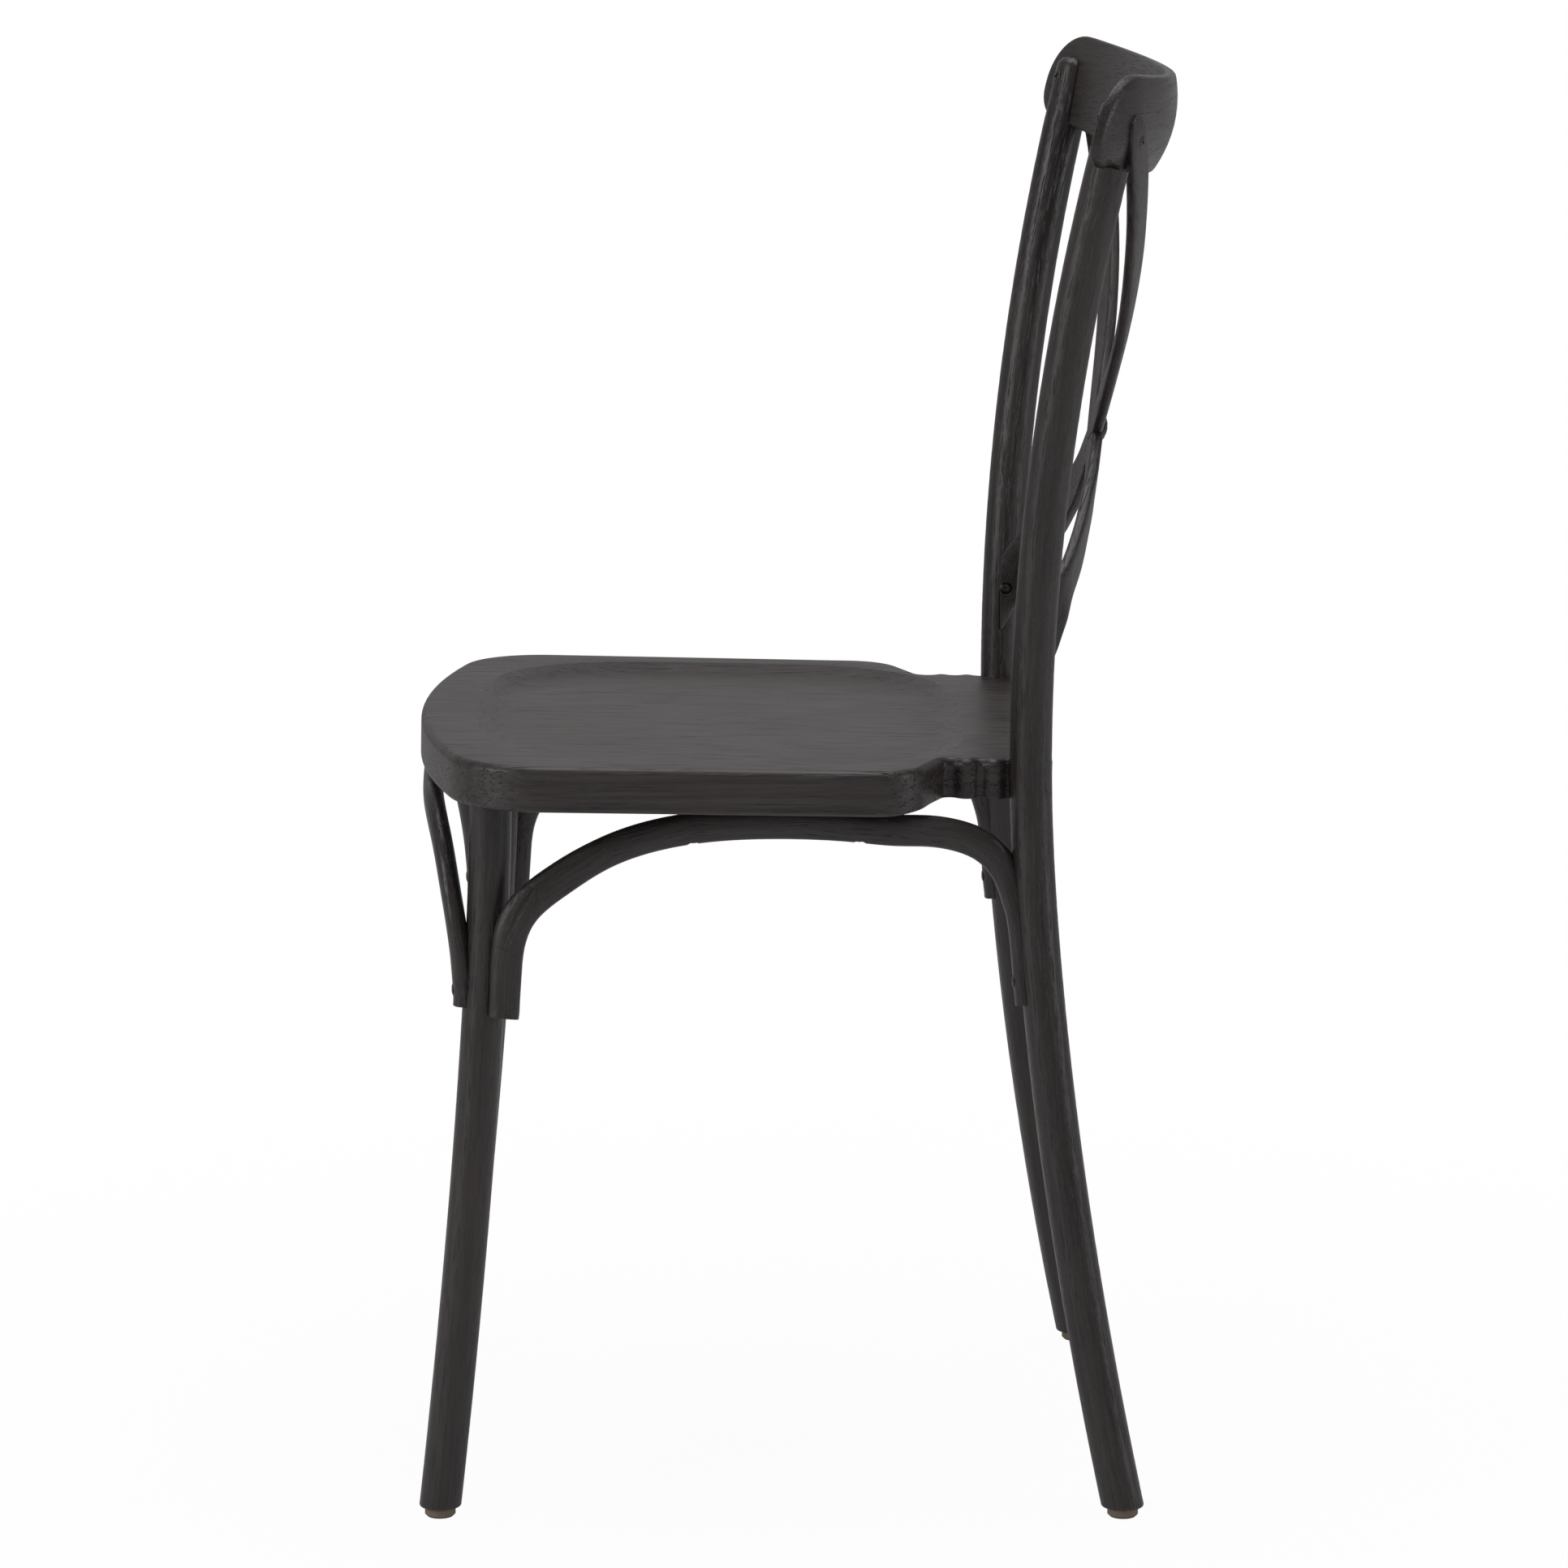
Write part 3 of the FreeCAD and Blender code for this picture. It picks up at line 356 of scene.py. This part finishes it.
def new_group(name, inputs, outputs):
    """An empty node group. Inputs are (name, kind, default), outputs are (name, kind)."""
    group = bpy.data.node_groups.new(name, "ShaderNodeTree")
    for label, kind, default in inputs:
        socket = group.interface.new_socket(label, in_out="INPUT", socket_type="NodeSocket" + kind)
        if default is not None:
            socket.default_value = default
    for label, kind in outputs:
        group.interface.new_socket(label, in_out="OUTPUT", socket_type="NodeSocket" + kind)
    return group, add(group, "NodeGroupInput", (-900, 0)), add(group, "NodeGroupOutput", (900, 0))


print("helpers for nodes, numbers, noise and groups are ready")

# %% [markdown]
# Wood grain under dark stain shows in two ways. Broad soft streaks run along the piece, where the wood took
# more or less of the stain. Over them lie the pores: short, thin, darker dashes that are also tiny grooves.
# Both are noise that is squeezed across the grain and drawn out along it, so one group makes both, and each
# material chooses how long and how wide its streaks are. Plain noise stays close to its middle value, so a
# gain and an offset spread the streaks over the whole range, and leave only the peaks of the finer noise as
# pores.

# %% Node group: grain
STREAK_GAIN, STREAK_OFFSET = 2.4, -0.7
PORE_GAIN, PORE_OFFSET = 6.0, -3.45
STREAK_RELIEF = 0.25


def make_grain_group():
    """Streaks, pores and the height of the surface, from a place measured along the grain."""
    group, given, made = new_group(
        "Grain",
        [("Place", "Vector", None), ("Streaks per metre", "Float", 260.0),
         ("Pores per metre", "Float", 900.0), ("Drawn out", "Float", 28.0)],
        [("Streaks", "Float"), ("Pores", "Float"), ("Height", "Float")])
    link = group.links.new
    apart = add(group, "ShaderNodeSeparateXYZ", (-700, 0))
    link(given.outputs["Place"], apart.inputs[0])
    shortened = number(group, "DIVIDE", apart.outputs["Z"], given.outputs["Drawn out"])
    squeezed = add(group, "ShaderNodeCombineXYZ", (-500, 0))
    link(apart.outputs["X"], squeezed.inputs["X"])
    link(apart.outputs["Y"], squeezed.inputs["Y"])
    link(shortened, squeezed.inputs["Z"])
    place = squeezed.outputs[0]
    broad = noise(group, (-300, 200), place, given.outputs["Streaks per metre"], detail=3.0, roughness=0.62)
    fine = noise(group, (-300, -200), place, given.outputs["Pores per metre"], detail=1.5)
    streaks = number(group, "MULTIPLY_ADD", broad, STREAK_GAIN, STREAK_OFFSET, clamp=True)
    pores = number(group, "MULTIPLY_ADD", fine, PORE_GAIN, PORE_OFFSET, clamp=True)
    height = number(group, "SUBTRACT", number(group, "MULTIPLY", streaks, STREAK_RELIEF), pores)
    link(streaks, made.inputs["Streaks"])
    link(pores, made.inputs["Pores"])
    link(height, made.inputs["Height"])
    return group


grain_group = make_grain_group()
print("grain group with", len(grain_group.nodes), "nodes")

# %% [markdown]
# Hands, cleaning and years leave a finish uneven. Lacquer looks duller in some patches and glossier in
# others, and it thins on edges, where the colour turns a little lighter. The first is a slow noise over the
# whole chair. The second comes from the Bevel node: where a slightly rounded normal differs from the true
# one, the surface is close to an edge. The rounded normal is useful too, because real edges are never
# perfectly sharp and catch a thin line of light. Where the wood's colour turns lighter on that edge mask, it
# is partly wear and partly a painted highlight, which stands in for that line of light.

# %% Node group: handled surface and soft edges
EDGE_GAIN = 5.0


def make_handling_group():
    """Dull and glossy patches, an edge mask for wear and painted highlights, and a normal that rounds the
    edges off.
    """
    group, given, made = new_group(
        "Handling",
        [("Patches per metre", "Float", 9.0), ("Edge radius", "Float", 0.0012)],
        [("Patches", "Float"), ("Edges", "Float"), ("Soft normal", "Vector")])
    link = group.links.new
    place = add(group, "ShaderNodeTexCoord", (-700, 200))
    patches = noise(group, (-400, 200), place.outputs["Object"], given.outputs["Patches per metre"],
                    detail=4.0)
    bevel = add(group, "ShaderNodeBevel", (-400, -200), samples=6)
    link(given.outputs["Edge radius"], bevel.inputs["Radius"])
    true = add(group, "ShaderNodeNewGeometry", (-400, -400))
    agree = add(group, "ShaderNodeVectorMath", (-100, -300), operation="DOT_PRODUCT")
    link(bevel.outputs["Normal"], agree.inputs[0])
    link(true.outputs["Normal"], agree.inputs[1])
    apart = number(group, "SUBTRACT", 1.0, agree.outputs["Value"])
    edges = number(group, "MULTIPLY", apart, EDGE_GAIN, clamp=True)
    link(patches, made.inputs["Patches"])
    link(edges, made.inputs["Edges"])
    link(bevel.outputs["Normal"], made.inputs["Soft normal"])
    return group


handling_group = make_handling_group()
print("handling group with", len(handling_group.nodes), "nodes")

# %% [markdown]
# Every material starts the same way: one Principled shader wired to the output. Most then place a node group
# with values of their own, mix two colours by a mask, let a mask sway the roughness a little to both sides of
# a middle value, and press a pattern into the surface with a Bump node. Each of these is a small function.

# %% Helpers for materials
def bare_material(name):
    """A new material with a Principled shader, and its node tree."""
    material = bpy.data.materials.new(name)
    material.use_nodes = True
    tree = material.node_tree
    tree.nodes.clear()
    shader = add(tree, "ShaderNodeBsdfPrincipled", (600, 0))
    output = add(tree, "ShaderNodeOutputMaterial", (900, 0))
    tree.links.new(shader.outputs[0], output.inputs["Surface"])
    return material, tree, shader


def use_group(tree, group, place, values):
    """A node group placed in a material, with values by name for the inputs that differ from its own."""
    node = add(tree, "ShaderNodeGroup", place, node_tree=group)
    for label, value in values.items():
        node.inputs[label].default_value = value
    return node


def blend_colours(tree, share, first, second):
    """A mix of two colours by a share from 0 to 1. Each colour is three numbers or a socket."""
    node = add(tree, "ShaderNodeMix", data_type="RGBA", clamp_factor=True)
    tree.links.new(share, node.inputs["Factor"])
    for socket, colour in ((node.inputs[6], first), (node.inputs[7], second)):
        if isinstance(colour, tuple):
            socket.default_value = (*colour, 1.0)
        else:
            tree.links.new(colour, socket)
    return node.outputs[2]


def sway(tree, mask, spread, middle):
    """A value that a mask from 0 to 1 moves by half the spread to each side of the middle."""
    return number(tree, "MULTIPLY_ADD", mask, spread, middle - spread / 2)


def press_in(tree, shader, height, strength, distance, normal=None):
    """Lets a height shape the light on the surface, over a normal if one is given."""
    bump = add(tree, "ShaderNodeBump", (300, -300))
    bump.inputs["Strength"].default_value = strength
    bump.inputs["Distance"].default_value = distance
    tree.links.new(height, bump.inputs["Height"])
    if normal is not None:
        tree.links.new(normal, bump.inputs["Normal"])
    tree.links.new(bump.outputs[0], shader.inputs["Normal"])


def dress(names, material):
    """Gives built pieces a material in place of their plain one."""
    for name in names:
        mesh = nodes[name].data
        mesh.materials.clear()
        mesh.materials.append(material)
    print(material.name, "on", ", ".join(names))


print("helpers for materials are ready")

# %% [markdown]
# The stain is nearly black with a touch of warm brown. Streaks that took less stain are a little lighter,
# pores are darker, and edges are lighter still, partly as worn lacquer and partly as a painted highlight
# along
# the rims. The lacquer over it is satin: rough enough to spread a lamp into a soft sheen, and duller in the
# pores and on the light streaks. The seat's top is wide and flat and shows its grain best: its streaks are
# drawn out longer and its pores are deeper than on the thin round pieces. On those the streaks are finer and
# fainter and the lacquer is a little glossier.

# %% Material: stained wood
STAIN_DARK = (0.0125, 0.0085, 0.0087)
STAIN_LIGHT = (0.0480, 0.0350, 0.0358)
PORE_COLOUR = (0.004, 0.0034, 0.0035)
# The colour of the edges: worn lacquer, and a painted highlight along the rims.
WORN_AND_HIGHLIT_EDGE_COLOUR = (0.075, 0.066, 0.065)
PATCHY_STAIN = 0.8
PATCHY_SHEEN = 0.18
DULL_PORES = 0.15
DULL_STREAKS = 0.1
EDGE_WEAR_AND_HIGHLIGHT = 0.35
GRAIN_STRENGTH = 0.8


def stained_wood(name, streaks_per_metre, pores_per_metre, drawn_out, streaks_seen, pores_seen,
                 roughness, relief):
    """The chair's wood. The last two are the lacquer's middle roughness and the depth of the grain."""
    material, tree, shader = bare_material(name)
    link = tree.links.new
    run = add(tree, "ShaderNodeAttribute", (-900, 0), attribute_name="grain")
    grain = use_group(tree, grain_group, (-600, 0), {"Streaks per metre": streaks_per_metre,
                                                     "Pores per metre": pores_per_metre,
                                                     "Drawn out": drawn_out})
    link(run.outputs["Vector"], grain.inputs["Place"])
    streaks, pores = grain.outputs["Streaks"], grain.outputs["Pores"]
    handling = use_group(tree, handling_group, (-600, -400), {})
    patches, edges = handling.outputs["Patches"], handling.outputs["Edges"]

    lightness = number(tree, "ADD", number(tree, "MULTIPLY", streaks, streaks_seen),
                       sway(tree, patches, PATCHY_STAIN, 0.0), clamp=True)
    colour = blend_colours(tree, lightness, STAIN_DARK, STAIN_LIGHT)
    colour = blend_colours(tree, number(tree, "MULTIPLY", pores, pores_seen), colour, PORE_COLOUR)
    # Edges turn lighter: partly worn lacquer, partly a painted highlight along the rims.
    colour = blend_colours(tree, number(tree, "MULTIPLY", edges, EDGE_WEAR_AND_HIGHLIGHT), colour, WORN_AND_HIGHLIT_EDGE_COLOUR)
    link(colour, shader.inputs["Base Color"])

    dullness = sway(tree, patches, PATCHY_SHEEN, roughness)
    dullness = number(tree, "ADD", dullness, number(tree, "MULTIPLY", pores, DULL_PORES))
    dullness = number(tree, "ADD", dullness, number(tree, "MULTIPLY", streaks, DULL_STREAKS), clamp=True)
    link(dullness, shader.inputs["Roughness"])
    press_in(tree, shader, grain.outputs["Height"], GRAIN_STRENGTH, relief, handling.outputs["Soft normal"])
    return material


seat_wood = stained_wood("stained_seat_wood", streaks_per_metre=240.0, pores_per_metre=700.0, drawn_out=34.0,
                         streaks_seen=1.0, pores_seen=0.7, roughness=0.37, relief=0.0008)
frame_wood = stained_wood("stained_frame_wood", streaks_per_metre=330.0, pores_per_metre=1100.0,
                          drawn_out=22.0, streaks_seen=0.6, pores_seen=0.4, roughness=0.34, relief=0.0004)
for name, piece in wood.items():
    piece.data.materials.append(seat_wood if name == "seat_panel" else frame_wood)
print("stained wood on", len(wood), "pieces")

# %% [markdown]
# The small turned boss behind the crossing and the plugs over the seat bolts are too small to show streaks.
# They keep their built meshes and take the same stain, with a fine fleck in place of the grain.

# %% Material: stained end grain for the boss and the plugs
FLECKS_PER_METRE = 1200.0
SMALL_EDGE = 0.0006
END_GRAIN_WEAR_AND_HIGHLIGHT = 0.4


def stained_end_grain():
    """The same stain on small pieces that show their end grain."""
    material, tree, shader = bare_material("stained_end_grain")
    link = tree.links.new
    place = add(tree, "ShaderNodeTexCoord", (-900, 0))
    fleck = noise(tree, (-600, 0), place.outputs["Object"], FLECKS_PER_METRE)
    handling = use_group(tree, handling_group, (-600, -400), {"Edge radius": SMALL_EDGE})
    # Edges turn lighter: partly wear, partly a painted highlight along the rims.
    worn = number(tree, "MULTIPLY", handling.outputs["Edges"], END_GRAIN_WEAR_AND_HIGHLIGHT)
    colour = blend_colours(tree, fleck, STAIN_DARK, STAIN_LIGHT)
    colour = blend_colours(tree, worn, colour, WORN_AND_HIGHLIT_EDGE_COLOUR)
    link(colour, shader.inputs["Base Color"])
    link(sway(tree, handling.outputs["Patches"], spread=0.2, middle=0.5), shader.inputs["Roughness"])
    link(handling.outputs["Soft normal"], shader.inputs["Normal"])
    return material


dress(["crossing_boss", "bolt_cover_plugs"], stained_end_grain())

# %% [markdown]
# The fittings are metal, and metal that has been through a workshop is never even. It is clouded in places,
# and it has fine scratches that mostly run one way. The scratches are noise that is drawn out in one
# direction, as the grain was, only much finer.

# %% Node group: scratched metal
ALONG_THE_SCRATCHES = 0.06


def make_scratch_group():
    """Clouds and fine scratches, laid through space."""
    group, given, made = new_group(
        "Scratches",
        [("Clouds per metre", "Float", 150.0), ("Scratches per metre", "Float", 2500.0)],
        [("Clouds", "Float"), ("Scratches", "Float")])
    link = group.links.new
    place = add(group, "ShaderNodeTexCoord", (-700, 0))
    clouds = noise(group, (-300, 200), place.outputs["Object"], given.outputs["Clouds per metre"])
    squeeze = add(group, "ShaderNodeMapping", (-500, -200))
    squeeze.inputs["Scale"].default_value = (1.0, ALONG_THE_SCRATCHES, 1.0)
    link(place.outputs["Object"], squeeze.inputs["Vector"])
    scratches = noise(group, (-300, -200), squeeze.outputs[0], given.outputs["Scratches per metre"])
    link(clouds, made.inputs["Clouds"])
    link(scratches, made.inputs["Scratches"])
    return group


scratch_group = make_scratch_group()
print("scratch group with", len(scratch_group.nodes), "nodes")

# %% [markdown]
# The screws are blackened steel. Blackening is a thin oxide, so the metal still shows where the driver has
# rubbed the recess and the rim. The seat bolts, washers and nails are zinc plated, bright and faintly
# clouded. The inserts in the seat are plain brass. Only colour, roughness and the amount of wear differ, so
# one function makes all three.

# %% Materials: blackened, zinc plated and brass fittings
FITTING_EDGE = 0.0004
CLOUDY = 0.4
SCRATCHY_SHEEN = 0.2
SCRATCH_STRENGTH = 0.2
SCRATCH_DEPTH = 0.00005


def fitting_metal(name, dark, light, roughness, wear):
    """A metal whose colour goes from dark to light with its clouds and its worn edges."""
    material, tree, shader = bare_material(name)
    link = tree.links.new
    marks = use_group(tree, scratch_group, (-600, 0), {})
    handling = use_group(tree, handling_group, (-600, -400), {"Edge radius": FITTING_EDGE})
    worn = number(tree, "MULTIPLY", handling.outputs["Edges"], wear)
    clouded = number(tree, "MULTIPLY", marks.outputs["Clouds"], CLOUDY)
    share = number(tree, "ADD", clouded, worn, clamp=True)
    link(blend_colours(tree, share, dark, light), shader.inputs["Base Color"])
    link(sway(tree, marks.outputs["Scratches"], SCRATCHY_SHEEN, roughness), shader.inputs["Roughness"])
    press_in(tree, shader, marks.outputs["Scratches"], SCRATCH_STRENGTH, SCRATCH_DEPTH,
             handling.outputs["Soft normal"])
    shader.inputs["Metallic"].default_value = 1.0
    return material


screw_metal = fitting_metal("blackened_screw", dark=(0.035, 0.033, 0.032), light=(0.22, 0.21, 0.2),
                            roughness=0.42, wear=0.6)
zinc_metal = fitting_metal("zinc_plated_steel", dark=(0.42, 0.42, 0.43), light=(0.68, 0.68, 0.69),
                           roughness=0.32, wear=0.3)
brass_metal = fitting_metal("plain_brass", dark=(0.55, 0.40, 0.16), light=(0.80, 0.62, 0.30),
                            roughness=0.3, wear=0.3)
dress([name for name in nodes if name.endswith("_screws") or name == "crossing_screw"], screw_metal)
dress(["seat_bolts", "bolt_washers", "glide_nails"], zinc_metal)
dress(["seat_inserts"], brass_metal)

# %% [markdown]
# The glides are pads of tan fibre, pressed and cut. Close up they are a felt of short fibres, a little
# lighter and darker from place to place, and quite matt. Their colour turns darker in the lowest couple of
# millimetres, next to the floor. The height above the floor fades that darkening out, and the same noise
# colours the fibres and roughens them.

# %% Material: pressed fibre glides
FIBRE_LIGHT = (0.27, 0.21, 0.16)
FIBRE_DARK = (0.12, 0.09, 0.067)
FIBRES_PER_METRE = 1500.0
FIBRE_LAYERS = 3.0
DARKER_NEAR_FLOOR_HEIGHT = 0.0018


def pressed_fibre():
    """The pads' fibre, darkened near the floor."""
    material, tree, shader = bare_material("pressed_fibre")
    link = tree.links.new
    place = add(tree, "ShaderNodeTexCoord", (-900, 0))
    squeeze = add(tree, "ShaderNodeMapping", (-750, 0))
    squeeze.inputs["Scale"].default_value = (1.0, 1.0, FIBRE_LAYERS)
    link(place.outputs["Object"], squeeze.inputs["Vector"])
    fibres = noise(tree, (-600, 0), squeeze.outputs[0], FIBRES_PER_METRE, detail=3.0)
    where = add(tree, "ShaderNodeSeparateXYZ", (-600, -300))
    link(place.outputs["Object"], where.inputs[0])
    # Darker towards the floor, over the lowest couple of millimetres.
    above_floor = number(tree, "DIVIDE", where.outputs["Z"], DARKER_NEAR_FLOOR_HEIGHT, clamp=True)
    lightness = number(tree, "MULTIPLY", fibres, above_floor)
    link(blend_colours(tree, lightness, FIBRE_DARK, FIBRE_LIGHT), shader.inputs["Base Color"])
    link(sway(tree, fibres, spread=0.2, middle=0.8), shader.inputs["Roughness"])
    press_in(tree, shader, fibres, strength=0.5, distance=0.0003)
    return material


dress([name for name in nodes if name.endswith("_glide")], pressed_fibre())

# %% [markdown]
# The studio is white all round. The floor is a wide sheet that looks plain white to the camera, because it
# glows for rays that come from there. Under the chair a small part of what the camera sees is an ordinary
# matt surface, and that part takes the chair's soft shadow. In reflections only a small part of the floor
# glows, because a floor as bright as the backdrop would turn every downward face of the black wood grey.

# %% Floor and backdrop
FLOOR_SIZE = 60.0
FLOOR_COLOUR = (0.8, 0.8, 0.8, 1.0)
MATT = 0.9
SHADOW_SHARE = 0.04
SHADOW_REACH = 1.3
FLOOR_IN_REFLECTIONS = 0.2


def studio_floor():
    """A wide white floor that still takes a shadow."""
    half = FLOOR_SIZE / 2
    corners = [(-half, -half, 0), (half, -half, 0), (half, half, 0), (-half, half, 0)]
    mesh = bpy.data.meshes.new("studio_floor")
    mesh.from_pydata(corners, [], [(0, 1, 2, 3)])
    floor = bpy.data.objects.new("studio_floor", mesh)
    bpy.context.scene.collection.objects.link(floor)
    material, tree, shader = bare_material("studio_floor")
    shader.inputs["Base Color"].default_value = FLOOR_COLOUR
    shader.inputs["Roughness"].default_value = MATT
    link = tree.links.new
    glow = add(tree, "ShaderNodeEmission", (600, 300))
    ray = add(tree, "ShaderNodeLightPath", (300, 500))
    place = add(tree, "ShaderNodeTexCoord", (-600, 500))
    away = add(tree, "ShaderNodeVectorMath", (-400, 500), operation="LENGTH")
    link(place.outputs["Object"], away.inputs[0])
    near = add(tree, "ShaderNodeMapRange", (-100, 500), interpolation_type="SMOOTHSTEP")
    link(away.outputs["Value"], near.inputs["Value"])
    near.inputs["From Max"].default_value = SHADOW_REACH
    near.inputs["To Min"].default_value = 1.0 - SHADOW_SHARE
    near.inputs["To Max"].default_value = 1.0
    mirrored = number(tree, "MULTIPLY", ray.outputs["Is Glossy Ray"], FLOOR_IN_REFLECTIONS)
    looked_at = number(tree, "MAXIMUM", ray.outputs["Is Camera Ray"], mirrored)
    glowing = number(tree, "MULTIPLY", looked_at, near.outputs["Result"])
    mix = add(tree, "ShaderNodeMixShader", (800, 200))
    link(glowing, mix.inputs[0])
    link(shader.outputs[0], mix.inputs[1])
    link(glow.outputs[0], mix.inputs[2])
    link(mix.outputs[0], tree.nodes["Material Output"].inputs["Surface"])
    mesh.materials.append(material)


studio_floor()

# %% [markdown]
# Behind the floor the camera sees the world, which is white for it as well. For everything else the world is
# a dim, even light that fills the shadows. Light Path tells the two apart.

# %% Sky
WHITE = (1.0, 1.0, 1.0, 1.0)
WORLD_LEVEL = 0.23


def studio_world():
    """White to the camera and dim to the chair."""
    world = bpy.data.worlds.new("studio")
    bpy.context.scene.world = world
    world.use_nodes = True
    tree = world.node_tree
    tree.nodes.clear()
    link = tree.links.new
    dim = add(tree, "ShaderNodeBackground")
    dim.inputs["Color"].default_value = WHITE
    dim.inputs["Strength"].default_value = WORLD_LEVEL
    white = add(tree, "ShaderNodeBackground")
    white.inputs["Color"].default_value = WHITE
    ray = add(tree, "ShaderNodeLightPath")
    mix = add(tree, "ShaderNodeMixShader")
    output = add(tree, "ShaderNodeOutputWorld")
    link(ray.outputs["Is Camera Ray"], mix.inputs[0])
    link(dim.outputs[0], mix.inputs[1])
    link(white.outputs[0], mix.inputs[2])
    link(mix.outputs[0], output.inputs["Surface"])


studio_world()
print("the world lights the chair at", WORLD_LEVEL, "of white")

# %% [markdown]
# A photographer lights a dark chair with large soft lamps, because black lacquer shows mostly what it
# reflects. A lit wall across from the camera, which starts a little above the seat's height, is mirrored in
# the seat and along the edges of the round pieces. One broad lamp hangs overhead. Two more stand at the
# front and the back of the chair, a little to the camera's side, and each draws a soft line of light down
# the legs and posts. Little comes straight from the camera, so the faces turned to it stay dark. The lamps
# are hidden from the camera, and only from it.

# %% Lamps
def soft_lamp(name, place, aim, size, brightness):
    """An area lamp of a width and height that faces a point. A brightness of 1 looks like lit white paper."""
    light = bpy.data.lights.new(name, "AREA")
    light.shape = "RECTANGLE"
    light.size, light.size_y = size
    light.energy = brightness * math.pi * size[0] * size[1]
    lamp = bpy.data.objects.new(name, light)
    lamp.location = place
    lamp.rotation_euler = (Vector(aim) - Vector(place)).to_track_quat("-Z", "Y").to_euler()
    lamp.visible_camera = False
    bpy.context.scene.collection.objects.link(lamp)
    print(name, round(light.energy), "W")


soft_lamp("wall_lamp", place=(-2.6, -0.45, 1.65), aim=(0, -0.45, 1.65), size=(3.6, 2.1), brightness=0.255)
soft_lamp("overhead_lamp", place=(-0.2, 0.1, 2.9), aim=(0, 0, 0.4), size=(2.2, 2.2), brightness=2.4)
soft_lamp("front_lamp", place=(1.5, -2.4, 1.4), aim=(0, 0, 0.5), size=(1.4, 1.8), brightness=3.8)
soft_lamp("back_lamp", place=(1.0, 2.9, 1.1), aim=(0, 0.1, 0.5), size=(1.0, 1.6), brightness=3.2)

# %% [markdown]
# The camera stands at the chair's left side, nearly four metres away and a little above the top rail, and
# looks slightly down. That long distance keeps the far legs almost as large as the near ones. The lens is
# given by the photograph's focal length in its own pixels, and a lens in millimetres follows from it. The two
# angles are in degrees: down from level, and round from a straight look at the chair's front.

# %% Camera
PICTURE_SIDE = 1932
FOCAL_PIXELS = 7707.3
SENSOR_MM = 36.0
CAMERA_PLACE = (3.9185, -0.1049, 1.1429)
LOOK_DOWN = 10.41
LOOK_ROUND = 88.57
FARTHEST_SEEN = 100.0

camera = bpy.data.objects.new("camera", bpy.data.cameras.new("camera"))
camera.data.sensor_width = SENSOR_MM
camera.data.lens = FOCAL_PIXELS / PICTURE_SIDE * SENSOR_MM
camera.data.clip_end = FARTHEST_SEEN
camera.location = CAMERA_PLACE
camera.rotation_euler = (math.radians(90 - LOOK_DOWN), 0, math.radians(LOOK_ROUND))
bpy.context.scene.collection.objects.link(camera)
bpy.context.scene.camera = camera
bpy.context.scene.view_settings.view_transform = "Standard"
print("lens", round(camera.data.lens, 1), "mm")
